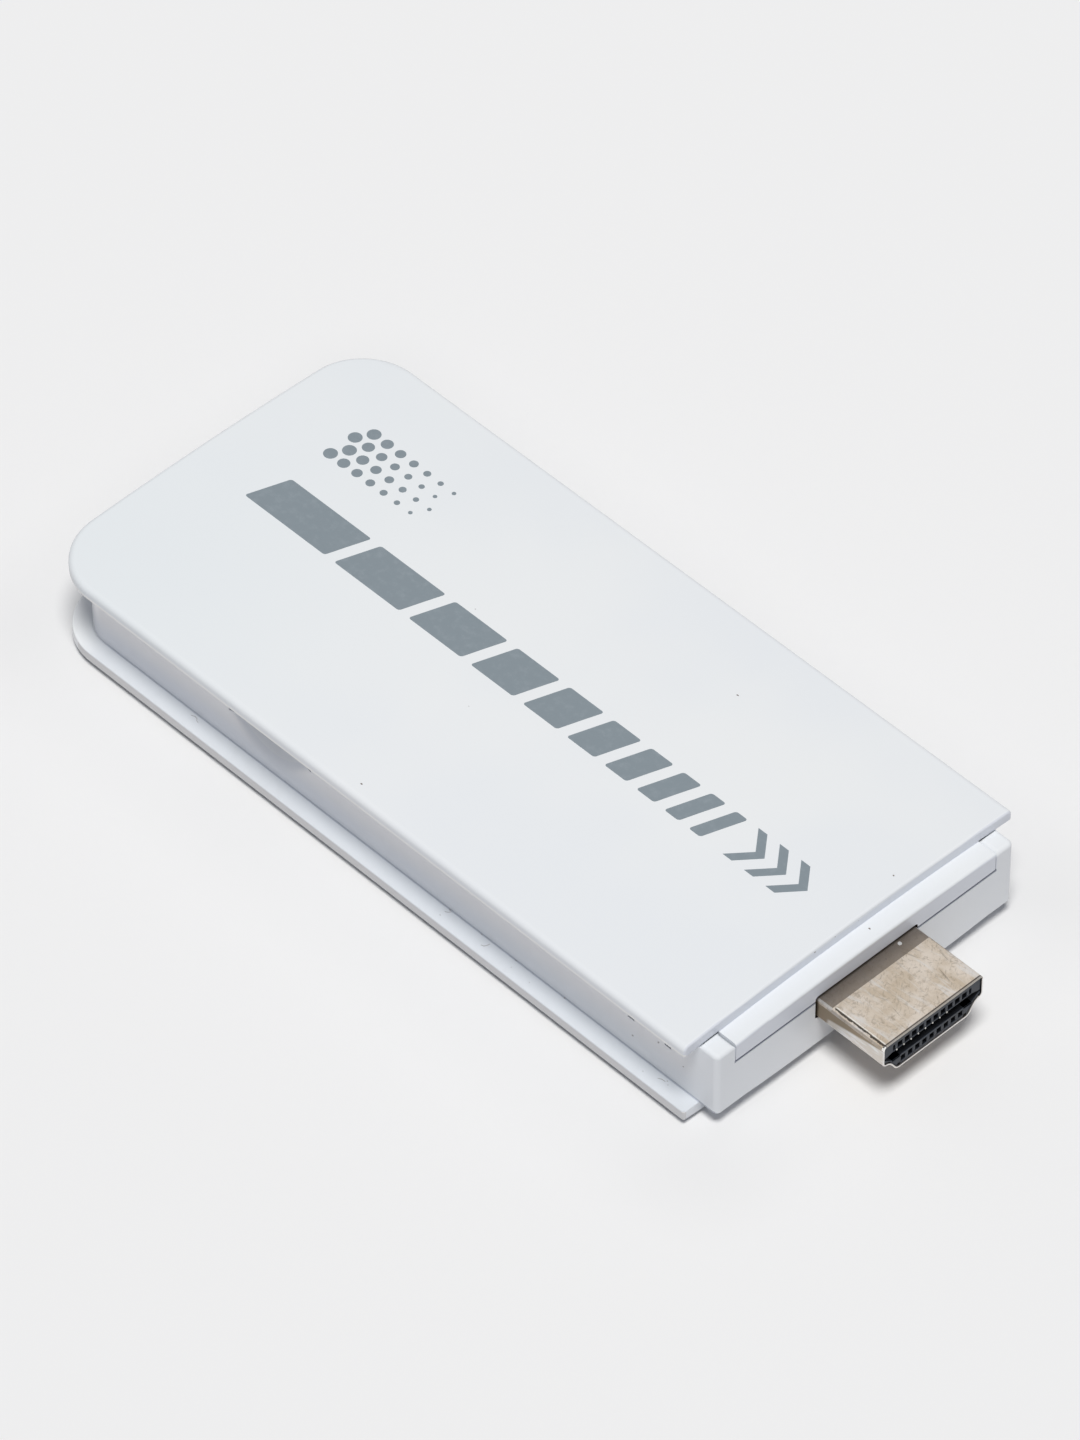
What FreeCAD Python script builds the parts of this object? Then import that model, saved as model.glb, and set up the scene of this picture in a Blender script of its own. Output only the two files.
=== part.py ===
import FreeCAD, Part
import math
import os

# A game stick that plugs straight into a television, in millimetres.
# +X points out of the HDMI plug, +Z up. The origin is the middle of the footprint, on the table.

# Casing, outside
plate_length = 93.9
plate_width = 45.7
far_corner_radius = 7.0
near_corner_radius = 0.3
edge_overhang = 2.15
front_extension = 2.4
core_corner_radius = 0.6
bottom_rise = 0.7
bottom_flat_width = 20.0
bottom_edge = 1.3
core_height = 8.0
top_edge = 1.4
top_crown = 0.7
top_edge_round = 0.7
plate_edge_round = 0.15
bottom_edge_round = 0.25
chin_lift = 1.7
core_root = 0.1

# Casing, walls and joints between the two halves
wall = 1.5
front_wall_setback = 0.2
floor_thickness = 1.5
seam_gap = 0.1
post_width = 2.5
post_round = 0.5
post_rise = 0.2
groove_height = 7.75
groove_gap = 0.2
skirt_thickness = 1.0
skirt_gap = 0.15
skirt_depth = 0.8
lip_round = 0.35
lip_root = 0.2

# Snap hooks
hook_setback = 7.0
rear_hook_setback = 20.0
hook_width = 4.0
hook_clearance = 0.7
hook_barb = 0.35
barb_height = 0.7
relief_margin = 0.125
relief_width = 0.9
relief_below = 0.5
catch_clearance = 0.15

# Circuit board
boss_height = 3.5
board_thickness = 1.2
board_gap = 0.6
board_front_gap = 0.4
board_near_radius = 1.0

# Screws and bosses
boss_diameter = 4.6
screw_diameter = 1.9
screw_length = 3.7
screw_head_diameter = 3.6
screw_head_height = 1.2
screw_head_round = 0.4
screw_recess = 0.6
screw_cross_length = 2.1
screw_cross_width = 0.45
pilot_clearance = 0.05
board_hole_clearance = 0.2
screw_front_setback = 13.7
screw_rear_setback = 18.0
screw_edge_inset = 3.2

# HDMI plug
plug_reach = 9.2
plug_width = 13.9
plug_height = 4.45
plug_side_height = 2.75
plug_shoulder = 0.95
plug_shoulder_drop = 0.25
plug_bottom_width = 10.1
plug_sheet = 0.3
plug_corner_round = 0.4
plug_drop = 0.1
plug_inside_length = 4.7
plug_hole_clearance = 0.2
plug_tab_length = 2.0
plug_tab_reach = 1.2
seam_start = 2.5
seam_inset = 0.35
seam_width = 0.09
seam_depth = 0.12
insulator_recess = 0.35
insulator_clearance = 0.04
tongue_slot_side = 1.15
tongue_slot_height = 1.6
tongue_slot_depth = 8.0
upper_contact_count = 10
lower_contact_count = 9
plug_contact_pitch = 1.0
window_width = 0.5
upper_window_height = 0.75
lower_window_height = 0.6
plug_contact_width = 0.38
plug_contact_thickness = 0.2
plug_contact_setback = 0.25
plug_contact_lift = 0.08
plug_tail_length = 1.8

# USB type A receptacle
usb_width = 13.14
usb_height = 5.72
usb_length = 14.0
usb_sheet = 0.3
usb_lift = 0.26
usb_recess = 0.2
usb_corner_round = 0.6
usb_hole_clearance = 0.25
usb_tongue_width = 11.1
usb_tongue_thickness = 1.84
usb_tongue_length = 8.6
usb_tongue_drop = 0.5
usb_back_length = 3.0
usb_contact_count = 4
usb_contact_pitch = 2.25
usb_contact_width = 1.0
usb_contact_thickness = 0.2
usb_contact_length = 7.4
usb_tab_length = 2.4
usb_tab_reach = 1.4

# Micro USB receptacle
micro_setback = 46.0
micro_width = 7.5
micro_height = 2.5
micro_bottom_width = 5.6
micro_length = 5.2
micro_sheet = 0.25
micro_recess = 0.6
micro_hole_clearance = 0.45
micro_tongue_width = 3.7
micro_tongue_thickness = 0.6
micro_tongue_length = 3.4
micro_back_length = 1.2
micro_contact_count = 5
micro_contact_pitch = 0.65
micro_contact_width = 0.35
micro_contact_thickness = 0.12
micro_contact_length = 2.6

# Card reader
slot_setback = 32.1
slot_side_gap = 0.6
slot_clearance = 0.3
scoop_depth = 0.9
scoop_height = 3.6
card_width = 11.0
card_length = 15.0
card_thickness = 0.7
card_ridge_height = 0.28
card_ridge_length = 0.9
card_ridge_inset = 0.2
card_corner_round = 0.5
card_neck = 1.3
card_neck_length = 8.5
card_lift = 0.5
card_inset = 0.3
socket_floor = 0.3
socket_side = 0.7
socket_side_gap = 0.2
socket_back = 0.8
socket_front_inset = 2.4
socket_headroom = 0.1
socket_sheet = 0.15
cover_window_width = 7.0
cover_window_length = 4.0
card_contact_count = 8
card_contact_pitch = 1.1
card_contact_width = 0.6
card_contact_length = 3.6
card_contact_thickness = 0.14
rail_width = 1.4
rail_length = 7.4
rail_gap = 0.2
rail_height = 0.9
toe_width = 4.4
toe_length = 1.3
toe_gap = 0.05
spring_length = 2.2
spring_outer = 0.86
spring_wire = 0.16
spring_turns = 6

# Parts on the board
processor_size = 15.0
processor_height = 1.2
mark_diameter = 0.8
mark_depth = 0.1
chip_corner_round = 0.25
pad_size = 14.0
pad_height = 0.8
spreader_size = 21.0
spreader_base = 0.6
fin_count = 7
fin_thickness = 0.8
fin_headroom = 0.1
memory_length = 13.3
memory_width = 9.0
memory_height = 1.1
memory_gap = 1.2
flash_size = 5.3
flash_height = 1.7
flash_gap = 1.0
leg_count = 4
leg_pitch = 1.27
leg_width = 0.42
leg_reach = 1.1
leg_thickness = 0.2
leg_lift = 0.7
crystal_length = 5.0
crystal_width = 3.2
crystal_height = 1.2
crystal_gap = 1.0
crystal_rim = 0.3
crystal_corner_round = 0.6
inductor_size = 4.0
inductor_height = 2.0
inductor_count = 3
inductor_pitch = 5.4
inductor_setback = 22.0
inductor_edge_inset = 8.6
inductor_corner = 0.8
capacitor_length = 1.6
capacitor_width = 0.8
capacitor_height = 0.8
capacitor_cap = 0.3
capacitor_step = 0.06
capacitors_per_side = 4
capacitor_pitch = 3.2
capacitor_gap = 1.3
resistor_length = 1.0
resistor_width = 0.5
resistor_height = 0.35
resistor_count = 8
resistor_pitch = 1.3
resistor_gap = 1.9
regulator_length = 2.9
regulator_width = 1.6
regulator_height = 1.1
regulator_gap = 1.2
regulator_count = 2

# Places along X, worked out from the sizes above
total_length = plate_length + front_extension + plug_reach
far_x = -total_length / 2
near_x = far_x + plate_length
front_x = near_x + front_extension
tip_x = front_x + plug_reach
core_far_x = far_x + edge_overhang
front_inner_x = near_x - front_wall_setback
front_wall = front_x - front_inner_x
far_inner_x = core_far_x + wall

# Places across Y
half_width = plate_width / 2
core_half = half_width - edge_overhang
inner_half = core_half - wall
board_half = inner_half - board_gap
post_inner = core_half - post_width

# Heights
ledge_z = bottom_rise + bottom_edge
cover_z = ledge_z + core_height
wall_top = cover_z - seam_gap
total_height = cover_z + top_edge + top_crown
board_z = floor_thickness + boss_height
board_top = board_z + board_thickness
board_mid = board_z + board_thickness / 2
plug_mid = board_top - plug_drop
usb_mid = board_mid + usb_lift
hook_low = board_top + hook_clearance

# Places of the card reader
slot_x = far_x + slot_setback
slot_width = card_width + 2 * slot_side_gap
card_z = board_top + card_lift
card_outer_y = -core_half + card_inset
card_inner_y = card_outer_y + card_length
card_top = card_z + card_thickness
socket_front_y = -core_half + socket_front_inset
socket_back_y = card_inner_y + toe_gap + toe_length + spring_length
socket_top = card_top + card_ridge_height + socket_headroom
socket_low_x = slot_x - card_width / 2 - socket_side_gap
rail_x = slot_x + card_width / 2 + rail_gap
socket_high_x = rail_x + rail_width + socket_side_gap
rail_z = card_z
rail_back_y = card_inner_y + toe_gap + toe_length
socket_outer_x = socket_high_x + socket_side + socket_sheet

# Places along the board: the processor and its memory stand midway between card reader and plug
plug_back_x = front_inner_x - plug_inside_length
tail_x = plug_back_x - board_hole_clearance - plug_tail_length
resistor_x = tail_x - resistor_gap - resistor_length / 2
group_length = memory_width + memory_gap + spreader_size
group_far_x = (socket_outer_x + resistor_x - resistor_length / 2 - group_length) / 2
memory_x = group_far_x + memory_width / 2
processor_x = group_far_x + group_length - spreader_size / 2


def vec(x, y, z):
    return FreeCAD.Vector(x, y, z)


def block(x0, x1, y0, y1, z0, z1):
    return Part.makeBox(x1 - x0, y1 - y0, z1 - z0, vec(x0, y0, z0))


def centred_block(x, y, z0, length, width, height):
    return block(x - length / 2, x + length / 2, y - width / 2, y + width / 2, z0, z0 + height)


def upright(x, y, z0, diameter, height):
    return Part.makeCylinder(diameter / 2, height, vec(x, y, z0))


def soften(shape, chosen, radius):
    edges = [edge for edge in shape.Edges if chosen(edge)]
    return shape.makeFillet(radius, edges)


def is_vertical(edge):
    box = edge.BoundBox
    return box.XLength < 0.001 and box.YLength < 0.001


def flat_distance(edge, corner):
    middle = edge.BoundBox.Center
    return math.hypot(middle.x - corner.x, middle.y - corner.y)


def runs_along_x(edge):
    box = edge.BoundBox
    return box.YLength < 0.001 and box.ZLength < 0.001


def section_along_x(points, x0, x1):
    # A closed outline of (y, z) points, drawn out from x0 to x1.
    corners = [vec(x0, y, z) for y, z in points]
    wire = Part.makePolygon(corners + corners[:1])
    return Part.Face(wire).extrude(vec(x1 - x0, 0, 0))


def section_along_y(points, y0, y1):
    # A closed outline of (x, z) points, drawn out from y0 to y1.
    corners = [vec(x, y0, z) for x, z in points]
    wire = Part.makePolygon(corners + corners[:1])
    return Part.Face(wire).extrude(vec(0, y1 - y0, 0))


def outline(x0, x1, half, far_radius, near_radius):
    # A rectangle with two round corners of one size at x0 and of another at x1.
    slant = math.sqrt(0.5)
    corners = [
        (x0, -half, 1, 1, far_radius),
        (x1, -half, -1, 1, near_radius),
        (x1, half, -1, -1, near_radius),
        (x0, half, 1, -1, far_radius),
    ]
    arcs = []
    for index, (x, y, to_x, to_y, radius) in enumerate(corners):
        centre = vec(x + to_x * radius, y + to_y * radius, 0)
        middle = vec(centre.x - to_x * radius * slant, centre.y - to_y * radius * slant, 0)
        end_a = vec(x, centre.y, 0)
        end_b = vec(centre.x, y, 0)
        first, last = (end_a, end_b) if index % 2 == 0 else (end_b, end_a)
        arcs.append((first, middle, last))
    edges = []
    for index, (first, middle, last) in enumerate(arcs):
        edges.append(Part.Arc(first, middle, last).toShape())
        following = arcs[(index + 1) % len(arcs)][0]
        edges.append(Part.makeLine(last, following))
    return Part.Face(Part.Wire(edges))


def prism(x0, x1, half, far_radius, near_radius, z0, z1):
    face = outline(x0, x1, half, far_radius, near_radius)
    face.translate(vec(0, 0, z0))
    return face.extrude(vec(0, 0, z1 - z0))


def crown_body(edge_height):
    # Everything under a surface that is level along X and arched across Y.
    radius = (half_width ** 2 + top_crown ** 2) / (2 * top_crown)
    centre = vec(-total_length, 0, edge_height + top_crown - radius)
    return Part.makeCylinder(radius, 2 * total_length, centre, vec(1, 0, 0))


def belly_body(lift):
    # Everything over a surface that is flat in the middle and turns up towards both sides.
    flat = bottom_flat_width / 2
    span = half_width - flat
    radius = (span ** 2 + bottom_rise ** 2) / (2 * bottom_rise)
    reach = span + edge_overhang
    rise = {part: radius - math.sqrt(radius ** 2 - (reach * part) ** 2) for part in (0.5, 1.0)}
    x0 = -total_length
    top = lift + total_height * 2
    right = [vec(x0, flat + reach * part, lift + rise[part]) for part in (0.5, 1.0)]
    left = [vec(x0, -point.y, point.z) for point in right]
    start_right = vec(x0, flat, lift)
    start_left = vec(x0, -flat, lift)
    top_right = vec(x0, right[1].y, top)
    top_left = vec(x0, left[1].y, top)
    edges = [
        Part.makeLine(start_left, start_right),
        Part.Arc(start_right, right[0], right[1]).toShape(),
        Part.makeLine(right[1], top_right),
        Part.makeLine(top_right, top_left),
        Part.makeLine(top_left, left[1]),
        Part.Arc(left[1], left[0], start_left).toShape(),
    ]
    return Part.Face(Part.Wire(edges)).extrude(vec(2 * total_length, 0, 0))


def plug_points():
    half = plug_width / 2
    top = plug_mid + plug_height / 2
    low = plug_mid - plug_height / 2
    side = top - plug_side_height
    shoulder = half - plug_shoulder
    bottom = plug_bottom_width / 2
    right = [(half, top), (half, side), (shoulder, side - plug_shoulder_drop), (bottom, low)]
    left = [(-y, z) for y, z in reversed(right)]
    return right + left


def plug_body(growth, x0, x1, corner):
    # The plug's outline, grown all round or drawn in, as a bar with rounded corners.
    corners = [vec(x0, y, z) for y, z in plug_points()]
    wire = Part.makePolygon(corners + corners[:1])
    face = Part.Face(wire)
    if growth:
        face = face.makeOffset2D(growth, 2)
    bar = face.extrude(vec(x1 - x0, 0, 0))
    return soften(bar, runs_along_x, corner)


def hook_places():
    # Each hook: its x, the side it is on, and whether its wall has relief slots.
    front = near_x - hook_setback
    rear = far_x + rear_hook_setback
    return [(front, -1, True), (front, 1, True), (rear, 1, True), (rear - hook_width * 1.5, -1, False)]


def screw_places():
    y = board_half - screw_edge_inset
    rows = (near_x - screw_front_setback, far_x + screw_rear_setback)
    return [(x, side * y) for x in rows for side in (-1, 1)]


def plate_blank(z0, z1):
    return prism(far_x, near_x, half_width, far_corner_radius, near_corner_radius, z0, z1)


def core_radius(inset):
    return far_corner_radius - edge_overhang - inset


def scoop_cutter():
    # A thumb scoop under the card slot: a wide round bar, tipped so that it runs out lower down.
    half = slot_width / 2
    radius = (half ** 2 + scoop_depth ** 2) / (2 * scoop_depth)
    tilt = math.degrees(math.atan2(scoop_depth, scoop_height))
    bar = Part.makeCylinder(radius, scoop_height * 2, vec(0, -radius, -scoop_height * 1.3))
    top_z = card_z - slot_clearance
    bar.rotate(vec(0, 0, 0), vec(1, 0, 0), -tilt)
    bar.translate(vec(slot_x, -core_half + scoop_depth, top_z))
    inner_y = -core_half + scoop_depth
    keep = block(slot_x - half, slot_x + half, -half_width, inner_y, ledge_z, top_z + scoop_depth)
    return bar.common(keep)


def relief_cutters(x, side):
    cutters = []
    reach = hook_width / 2 + relief_margin + relief_width / 2
    for shift in (-reach, reach):
        y0, y1 = sorted((side * (inner_half - 0.01), side * (core_half + 0.01)))
        low = x + shift - relief_width / 2
        cutters.append(block(low, low + relief_width, y0, y1, hook_low - relief_below, cover_z))
    return cutters


def catch_cutter(x, side):
    # The recess in the wall that a hook's barb drops into.
    half = hook_width / 2 + catch_clearance
    depth = hook_barb + catch_clearance
    y0, y1 = sorted((side * (inner_half - skirt_gap), side * (inner_half + depth)))
    low = hook_low - catch_clearance
    return block(x - half, x + half, y0, y1, low, low + barb_height + 2 * catch_clearance)


def usb_hole():
    clear = usb_hole_clearance
    half = usb_width / 2 + clear
    low = usb_mid - usb_height / 2 - clear
    hole = block(far_x, far_inner_x + wall, -half, half, low, low + usb_height + 2 * clear)
    return soften(hole, runs_along_x, usb_corner_round + clear)


def micro_hole():
    clear = micro_hole_clearance
    low_x = far_x + micro_setback - micro_width / 2 - clear
    hole = block(
        low_x,
        low_x + micro_width + 2 * clear,
        inner_half - wall,
        half_width,
        board_top - clear / 2,
        board_top + micro_height + clear,
    )
    return hole


def card_slot_hole():
    half = slot_width / 2
    low = card_z - slot_clearance
    high = card_top + card_ridge_height + slot_clearance
    return block(slot_x - half, slot_x + half, -half_width, -inner_half + 0.01, low, high)


def make_bottom_plate():
    plate = plate_blank(-1, ledge_z).common(belly_body(0))
    rim_top = [edge for edge in plate.Edges if edge.BoundBox.ZMin > ledge_z - 0.001]
    plate = plate.makeFillet(plate_edge_round, rim_top)
    low_face = [face for face in plate.Faces if face.BoundBox.ZMax < bottom_rise + 0.3]
    count = {}
    for face in low_face:
        for edge in face.Edges:
            count.setdefault(edge.hashCode(), []).append(edge)
    rim_low = [edges[0] for edges in count.values() if len(edges) == 1]
    return plate.makeFillet(bottom_edge_round, rim_low)


def make_core():
    # The recessed wall between the plates, with its chin raised off the table at the plug end.
    root_z = ledge_z - core_root
    near_radius = core_corner_radius
    back = prism(core_far_x, front_x, core_half, core_radius(0), near_radius, root_z, wall_top)
    chin = prism(near_x - wall, front_x, core_half, near_radius, near_radius, 0, ledge_z)
    return back.fuse(chin.common(belly_body(chin_lift))).removeSplitter()


def make_posts():
    posts = []
    for side in (-1, 1):
        y0, y1 = sorted((side * post_inner, side * core_half))
        post = block(near_x + seam_gap, front_x, y0, y1, groove_height, cover_z + post_rise)
        corner = vec(front_x, side * core_half, 0)
        outer = [edge for edge in post.Edges if is_vertical(edge) and flat_distance(edge, corner) < 0.01]
        post = post.makeFillet(core_corner_radius, outer)
        high = [edge for edge in post.Edges if edge.BoundBox.ZMin > cover_z]
        rim = [edge for edge in high if edge.BoundBox.XMax > near_x + 2 * seam_gap]
        posts.append(post.makeFillet(post_round, rim))
    return posts


def make_bosses():
    low = floor_thickness / 2
    return [upright(x, y, low, boss_diameter, board_z - low) for x, y in screw_places()]


def make_bottom_case():
    shape = make_bottom_plate().fuse(make_core())
    radii = (core_radius(wall), core_corner_radius / 2)
    cavity = prism(far_inner_x, front_inner_x, inner_half, *radii, floor_thickness, total_height)
    room_x = front_inner_x - lip_round
    lip_room = block(room_x, tip_x, -post_inner, post_inner, groove_height, total_height)
    post_room = block(near_x + seam_gap, tip_x, -half_width, half_width, groove_height, total_height)
    shape = shape.cut([cavity, lip_room, post_room])
    shape = shape.fuse(make_posts() + make_bosses()).removeSplitter()
    pilot = screw_diameter + 2 * pilot_clearance
    pilot_low = board_top - screw_length - screw_diameter / 2 - pilot_clearance
    pilots = [upright(x, y, pilot_low, pilot, total_height) for x, y in screw_places()]
    cutters = pilots + [usb_hole(), micro_hole(), card_slot_hole(), scoop_cutter()]
    cutters.append(plug_body(plug_hole_clearance, front_inner_x - 1, front_x + 1, plug_corner_round))
    for x, side, relieved in hook_places():
        cutters.append(catch_cutter(x, side))
        if relieved:
            cutters += relief_cutters(x, side)
    return shape.cut(cutters)


def make_top_plate():
    # Cut to length once its long edges are rounded, so that its near end has crisper edges.
    long_x = near_x + top_edge_round * 2
    blank = prism(far_x, long_x, half_width, far_corner_radius, top_edge_round, ledge_z, total_height + 1)
    plate = blank.common(crown_body(cover_z + top_edge)).cut(crown_body(cover_z))
    high = cover_z + top_edge - 0.001
    rim = [edge for edge in plate.Edges if edge.BoundBox.ZMin > high]
    plate = plate.makeFillet(top_edge_round, rim)
    plate = plate.cut(block(near_x, long_x + 1, -plate_width, plate_width, 0, total_height + 2))
    end = [edge for edge in plate.Edges if edge.BoundBox.XMin > near_x - 0.001]
    end = [edge for edge in end if is_vertical(edge) or edge.BoundBox.ZMax > high]
    plate = plate.makeFillet(near_corner_radius, end)
    low = cover_z + top_crown + 0.001
    rim = [edge for edge in plate.Edges if edge.BoundBox.ZMax < low and not is_vertical(edge)]
    return plate.makeFillet(plate_edge_round, rim)


def make_lip():
    # The cover's front lip drops between the two corner posts and closes over the plug.
    half = post_inner - seam_gap
    low = groove_height + groove_gap
    lip = block(near_x - lip_round, front_x, -half, half, low, total_height).common(crown_body(cover_z))
    rim = [
        edge
        for edge in lip.Edges
        if edge.BoundBox.XMin > front_x - 0.01 and edge.BoundBox.ZMin > cover_z - 0.01
    ]
    lip = lip.makeFillet(lip_round, rim)
    root = block(near_x - lip_root, near_x, -half, half, low, total_height)
    return lip.fuse(root.common(crown_body(cover_z + top_edge / 2)))


def make_skirt():
    outer = inner_half - skirt_gap
    far = far_inner_x + skirt_gap
    radius = core_radius(wall + skirt_gap)
    near = front_inner_x - skirt_gap
    low = cover_z - skirt_depth
    ring = prism(far, near, outer, radius, core_corner_radius, low, total_height)
    inset = skirt_thickness
    open_x = near + front_wall
    radii = (radius - inset, core_corner_radius)
    hollow = prism(far + inset, open_x, outer - inset, *radii, 0, total_height * 2)
    return ring.cut(hollow).common(crown_body(cover_z + top_edge / 2))


def make_hooks():
    hooks = []
    face = inner_half - skirt_gap
    low = hook_low
    for x, side, _ in hook_places():
        points = [
            (face - skirt_thickness, cover_z + top_edge / 2),
            (face - skirt_thickness, low),
            (face, low),
            (face + hook_barb, low + barb_height * 0.8),
            (face + hook_barb, low + barb_height),
            (face, low + barb_height),
            (face, cover_z + top_edge / 2),
        ]
        points = [(side * y, z) for y, z in points]
        hooks.append(section_along_x(points, x - hook_width / 2, x + hook_width / 2))
    return hooks


def make_top_cover():
    shape = make_top_plate()
    for piece in [make_lip(), make_skirt()] + make_hooks():
        shape = shape.fuse(piece)
    plug_hole = plug_body(plug_hole_clearance, front_inner_x - 1, front_x + 1, plug_corner_round)
    return shape.cut([plug_hole, usb_hole(), micro_hole()])


def make_circuit_board():
    far = far_inner_x + board_gap
    near = front_inner_x - board_front_gap
    radii = (core_radius(wall + board_gap), board_near_radius)
    board = prism(far, near, board_half, *radii, board_z, board_top)
    cutters = []
    for x, y in screw_places():
        hole = screw_diameter + 2 * board_hole_clearance
        cutters.append(upright(x, y, board_z - 1, hole, board_thickness + 2))
    plug_half = plug_width / 2 + board_hole_clearance
    plug_back = plug_back_x - board_hole_clearance
    cutters.append(block(plug_back, near + 1, -plug_half, plug_half, board_z - 1, board_top + 1))
    usb_half = usb_width / 2 + board_hole_clearance
    usb_back = core_far_x + usb_recess + usb_length + board_hole_clearance
    cutters.append(block(far - 1, usb_back, -usb_half, usb_half, board_z - 1, board_top + 1))
    return board.cut(cutters)


def make_board_screws():
    screws = []
    for x, y in screw_places():
        radius = screw_diameter / 2
        low = board_top - screw_length
        top = board_top + screw_head_height
        shank = upright(x, y, low, screw_diameter, screw_length)
        tip = Part.makeCone(radius / 2, radius, radius, vec(x, y, low - radius))
        head = upright(x, y, board_top, screw_head_diameter, screw_head_height)
        rim = [edge for edge in head.Edges if edge.BoundBox.ZMin > top - 0.001]
        head = head.makeFillet(screw_head_round, rim)
        screw = shank.fuse([tip, head]).removeSplitter()
        arms = (screw_cross_length, screw_cross_width)
        slots = [
            centred_block(x, y, top - screw_recess, length, width, screw_head_height)
            for length, width in (arms, arms[::-1])
        ]
        screws.append(screw.cut(slots))
    return Part.makeCompound(screws)


def make_hdmi_shell():
    back = plug_back_x
    tube = plug_body(0, back, tip_x, plug_corner_round)
    tube = tube.cut(plug_body(-plug_sheet, back - 1, tip_x + 1, plug_corner_round / 2))
    seam_y = -plug_width / 2 + seam_inset
    top = plug_mid + plug_height / 2
    seam = block(front_x + seam_start, tip_x + 1, seam_y, seam_y + seam_width, top - seam_depth, top + 1)
    tabs = []
    for side in (-1, 1):
        inner = plug_width / 2 - plug_sheet / 2
        y0, y1 = sorted((side * inner, side * (inner + plug_tab_reach)))
        start = back + plug_sheet
        tabs.append(block(start, start + plug_tab_length, y0, y1, board_top, board_top + plug_sheet))
    return tube.fuse(tabs).cut(seam)


def plug_row(count):
    return [(index - (count - 1) / 2) * plug_contact_pitch for index in range(count)]


def make_hdmi_insulator():
    back = plug_back_x
    face = tip_x - insulator_recess
    body = plug_body(-plug_sheet - insulator_clearance, back, face, plug_corner_round / 2)
    half = tongue_slot_height / 2
    width = plug_width / 2 - tongue_slot_side
    slot = block(face - tongue_slot_depth, face + 1, -width, width, plug_mid - half, plug_mid + half)
    cutters = [slot]
    middle = (back + face) / 2
    length = face - back + 1
    for y in plug_row(upper_contact_count):
        low = plug_mid + half - 0.01
        cutters.append(centred_block(middle, y, low, length, window_width, upper_window_height))
    for y in plug_row(lower_contact_count):
        low = plug_mid - half - lower_window_height + 0.01
        cutters.append(centred_block(middle, y, low, length, window_width, lower_window_height))
    return body.cut(cutters)


def contact_strip(points, y, width):
    return section_along_y(points, y - width / 2, y + width / 2)


def plug_contacts(count, level, foot):
    # Strips that lie along the tongue slot at one level and step down to a foot behind the plug.
    thick = plug_contact_thickness
    start = tip_x - insulator_recess - plug_contact_setback
    bend = plug_back_x - board_hole_clearance
    knee = bend + thick
    tail = tail_x
    points = [
        (start, level + thick), (bend, level + thick), (bend, foot + thick), (tail, foot + thick),
        (tail, foot), (knee, foot), (knee, level), (start, level),
    ]
    return Part.makeCompound([contact_strip(points, y, plug_contact_width) for y in plug_row(count)])


def make_hdmi_upper_contacts():
    level = plug_mid + tongue_slot_height / 2 + plug_contact_lift
    return plug_contacts(upper_contact_count, level, board_top)


def make_hdmi_lower_contacts():
    level = plug_mid - tongue_slot_height / 2 - plug_contact_lift - plug_contact_thickness
    return plug_contacts(lower_contact_count, level, board_z - plug_contact_thickness)


def usb_front():
    return core_far_x + usb_recess


def make_usb_shell():
    front = usb_front()
    back = front + usb_length
    half = usb_width / 2
    low = usb_mid - usb_height / 2
    tube = soften(block(front, back, -half, half, low, low + usb_height), runs_along_x, usb_corner_round)
    sheet = usb_sheet
    inner = half - sheet
    hollow = block(front - 1, back - sheet, -inner, inner, low + sheet, low + usb_height - sheet)
    tube = tube.cut(soften(hollow, runs_along_x, usb_corner_round - sheet))
    tabs = []
    for side in (-1, 1):
        y0, y1 = sorted((side * (half - sheet / 2), side * (half + usb_tab_reach)))
        for start in (back - usb_length * 0.65, back - usb_tab_length - sheet):
            tabs.append(block(start, start + usb_tab_length, y0, y1, board_top, board_top + sheet))
    return tube.fuse(tabs)


def usb_tongue_low():
    return usb_mid + usb_height / 2 - usb_sheet - usb_tongue_drop - usb_tongue_thickness


def make_usb_tongue():
    back = usb_front() + usb_length - usb_sheet
    half = usb_width / 2 - usb_sheet - usb_corner_round / 4
    low = usb_mid - usb_height / 2 + usb_sheet
    body = block(back - usb_back_length, back, -half, half, low, low + usb_height - 2 * usb_sheet)
    body = soften(body, runs_along_x, usb_corner_round)
    blade_low = usb_tongue_low()
    blade = block(
        back - usb_back_length - usb_tongue_length,
        back - usb_back_length + 0.5,
        -usb_tongue_width / 2,
        usb_tongue_width / 2,
        blade_low,
        blade_low + usb_tongue_thickness,
    )
    return body.fuse(blade).removeSplitter()


def make_usb_contacts():
    back = usb_front() + usb_length - usb_sheet - usb_back_length
    high = usb_tongue_low()
    length = usb_contact_length
    thick = usb_contact_thickness
    strips = []
    for index in range(usb_contact_count):
        y = (index - (usb_contact_count - 1) / 2) * usb_contact_pitch
        strips.append(centred_block(back - length / 2, y, high - thick, length, usb_contact_width, thick))
    return Part.makeCompound(strips)


def micro_points(inset):
    x = far_x + micro_setback
    half = micro_width / 2 - inset
    foot = micro_bottom_width / 2 - inset * 0.6
    low = board_top + inset
    high = board_top + micro_height - inset
    waist = low + (micro_height - 2 * inset) * 0.45
    sides = [(half, high), (half, waist), (foot, low)]
    return [(x - along, z) for along, z in sides] + [(x + along, z) for along, z in reversed(sides)]


def micro_front():
    return core_half - micro_recess


def make_micro_usb_shell():
    front = micro_front()
    back = front - micro_length
    tube = section_along_y(micro_points(0), back, front)
    return tube.cut(section_along_y(micro_points(micro_sheet), back + micro_sheet, front + 1))


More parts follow.
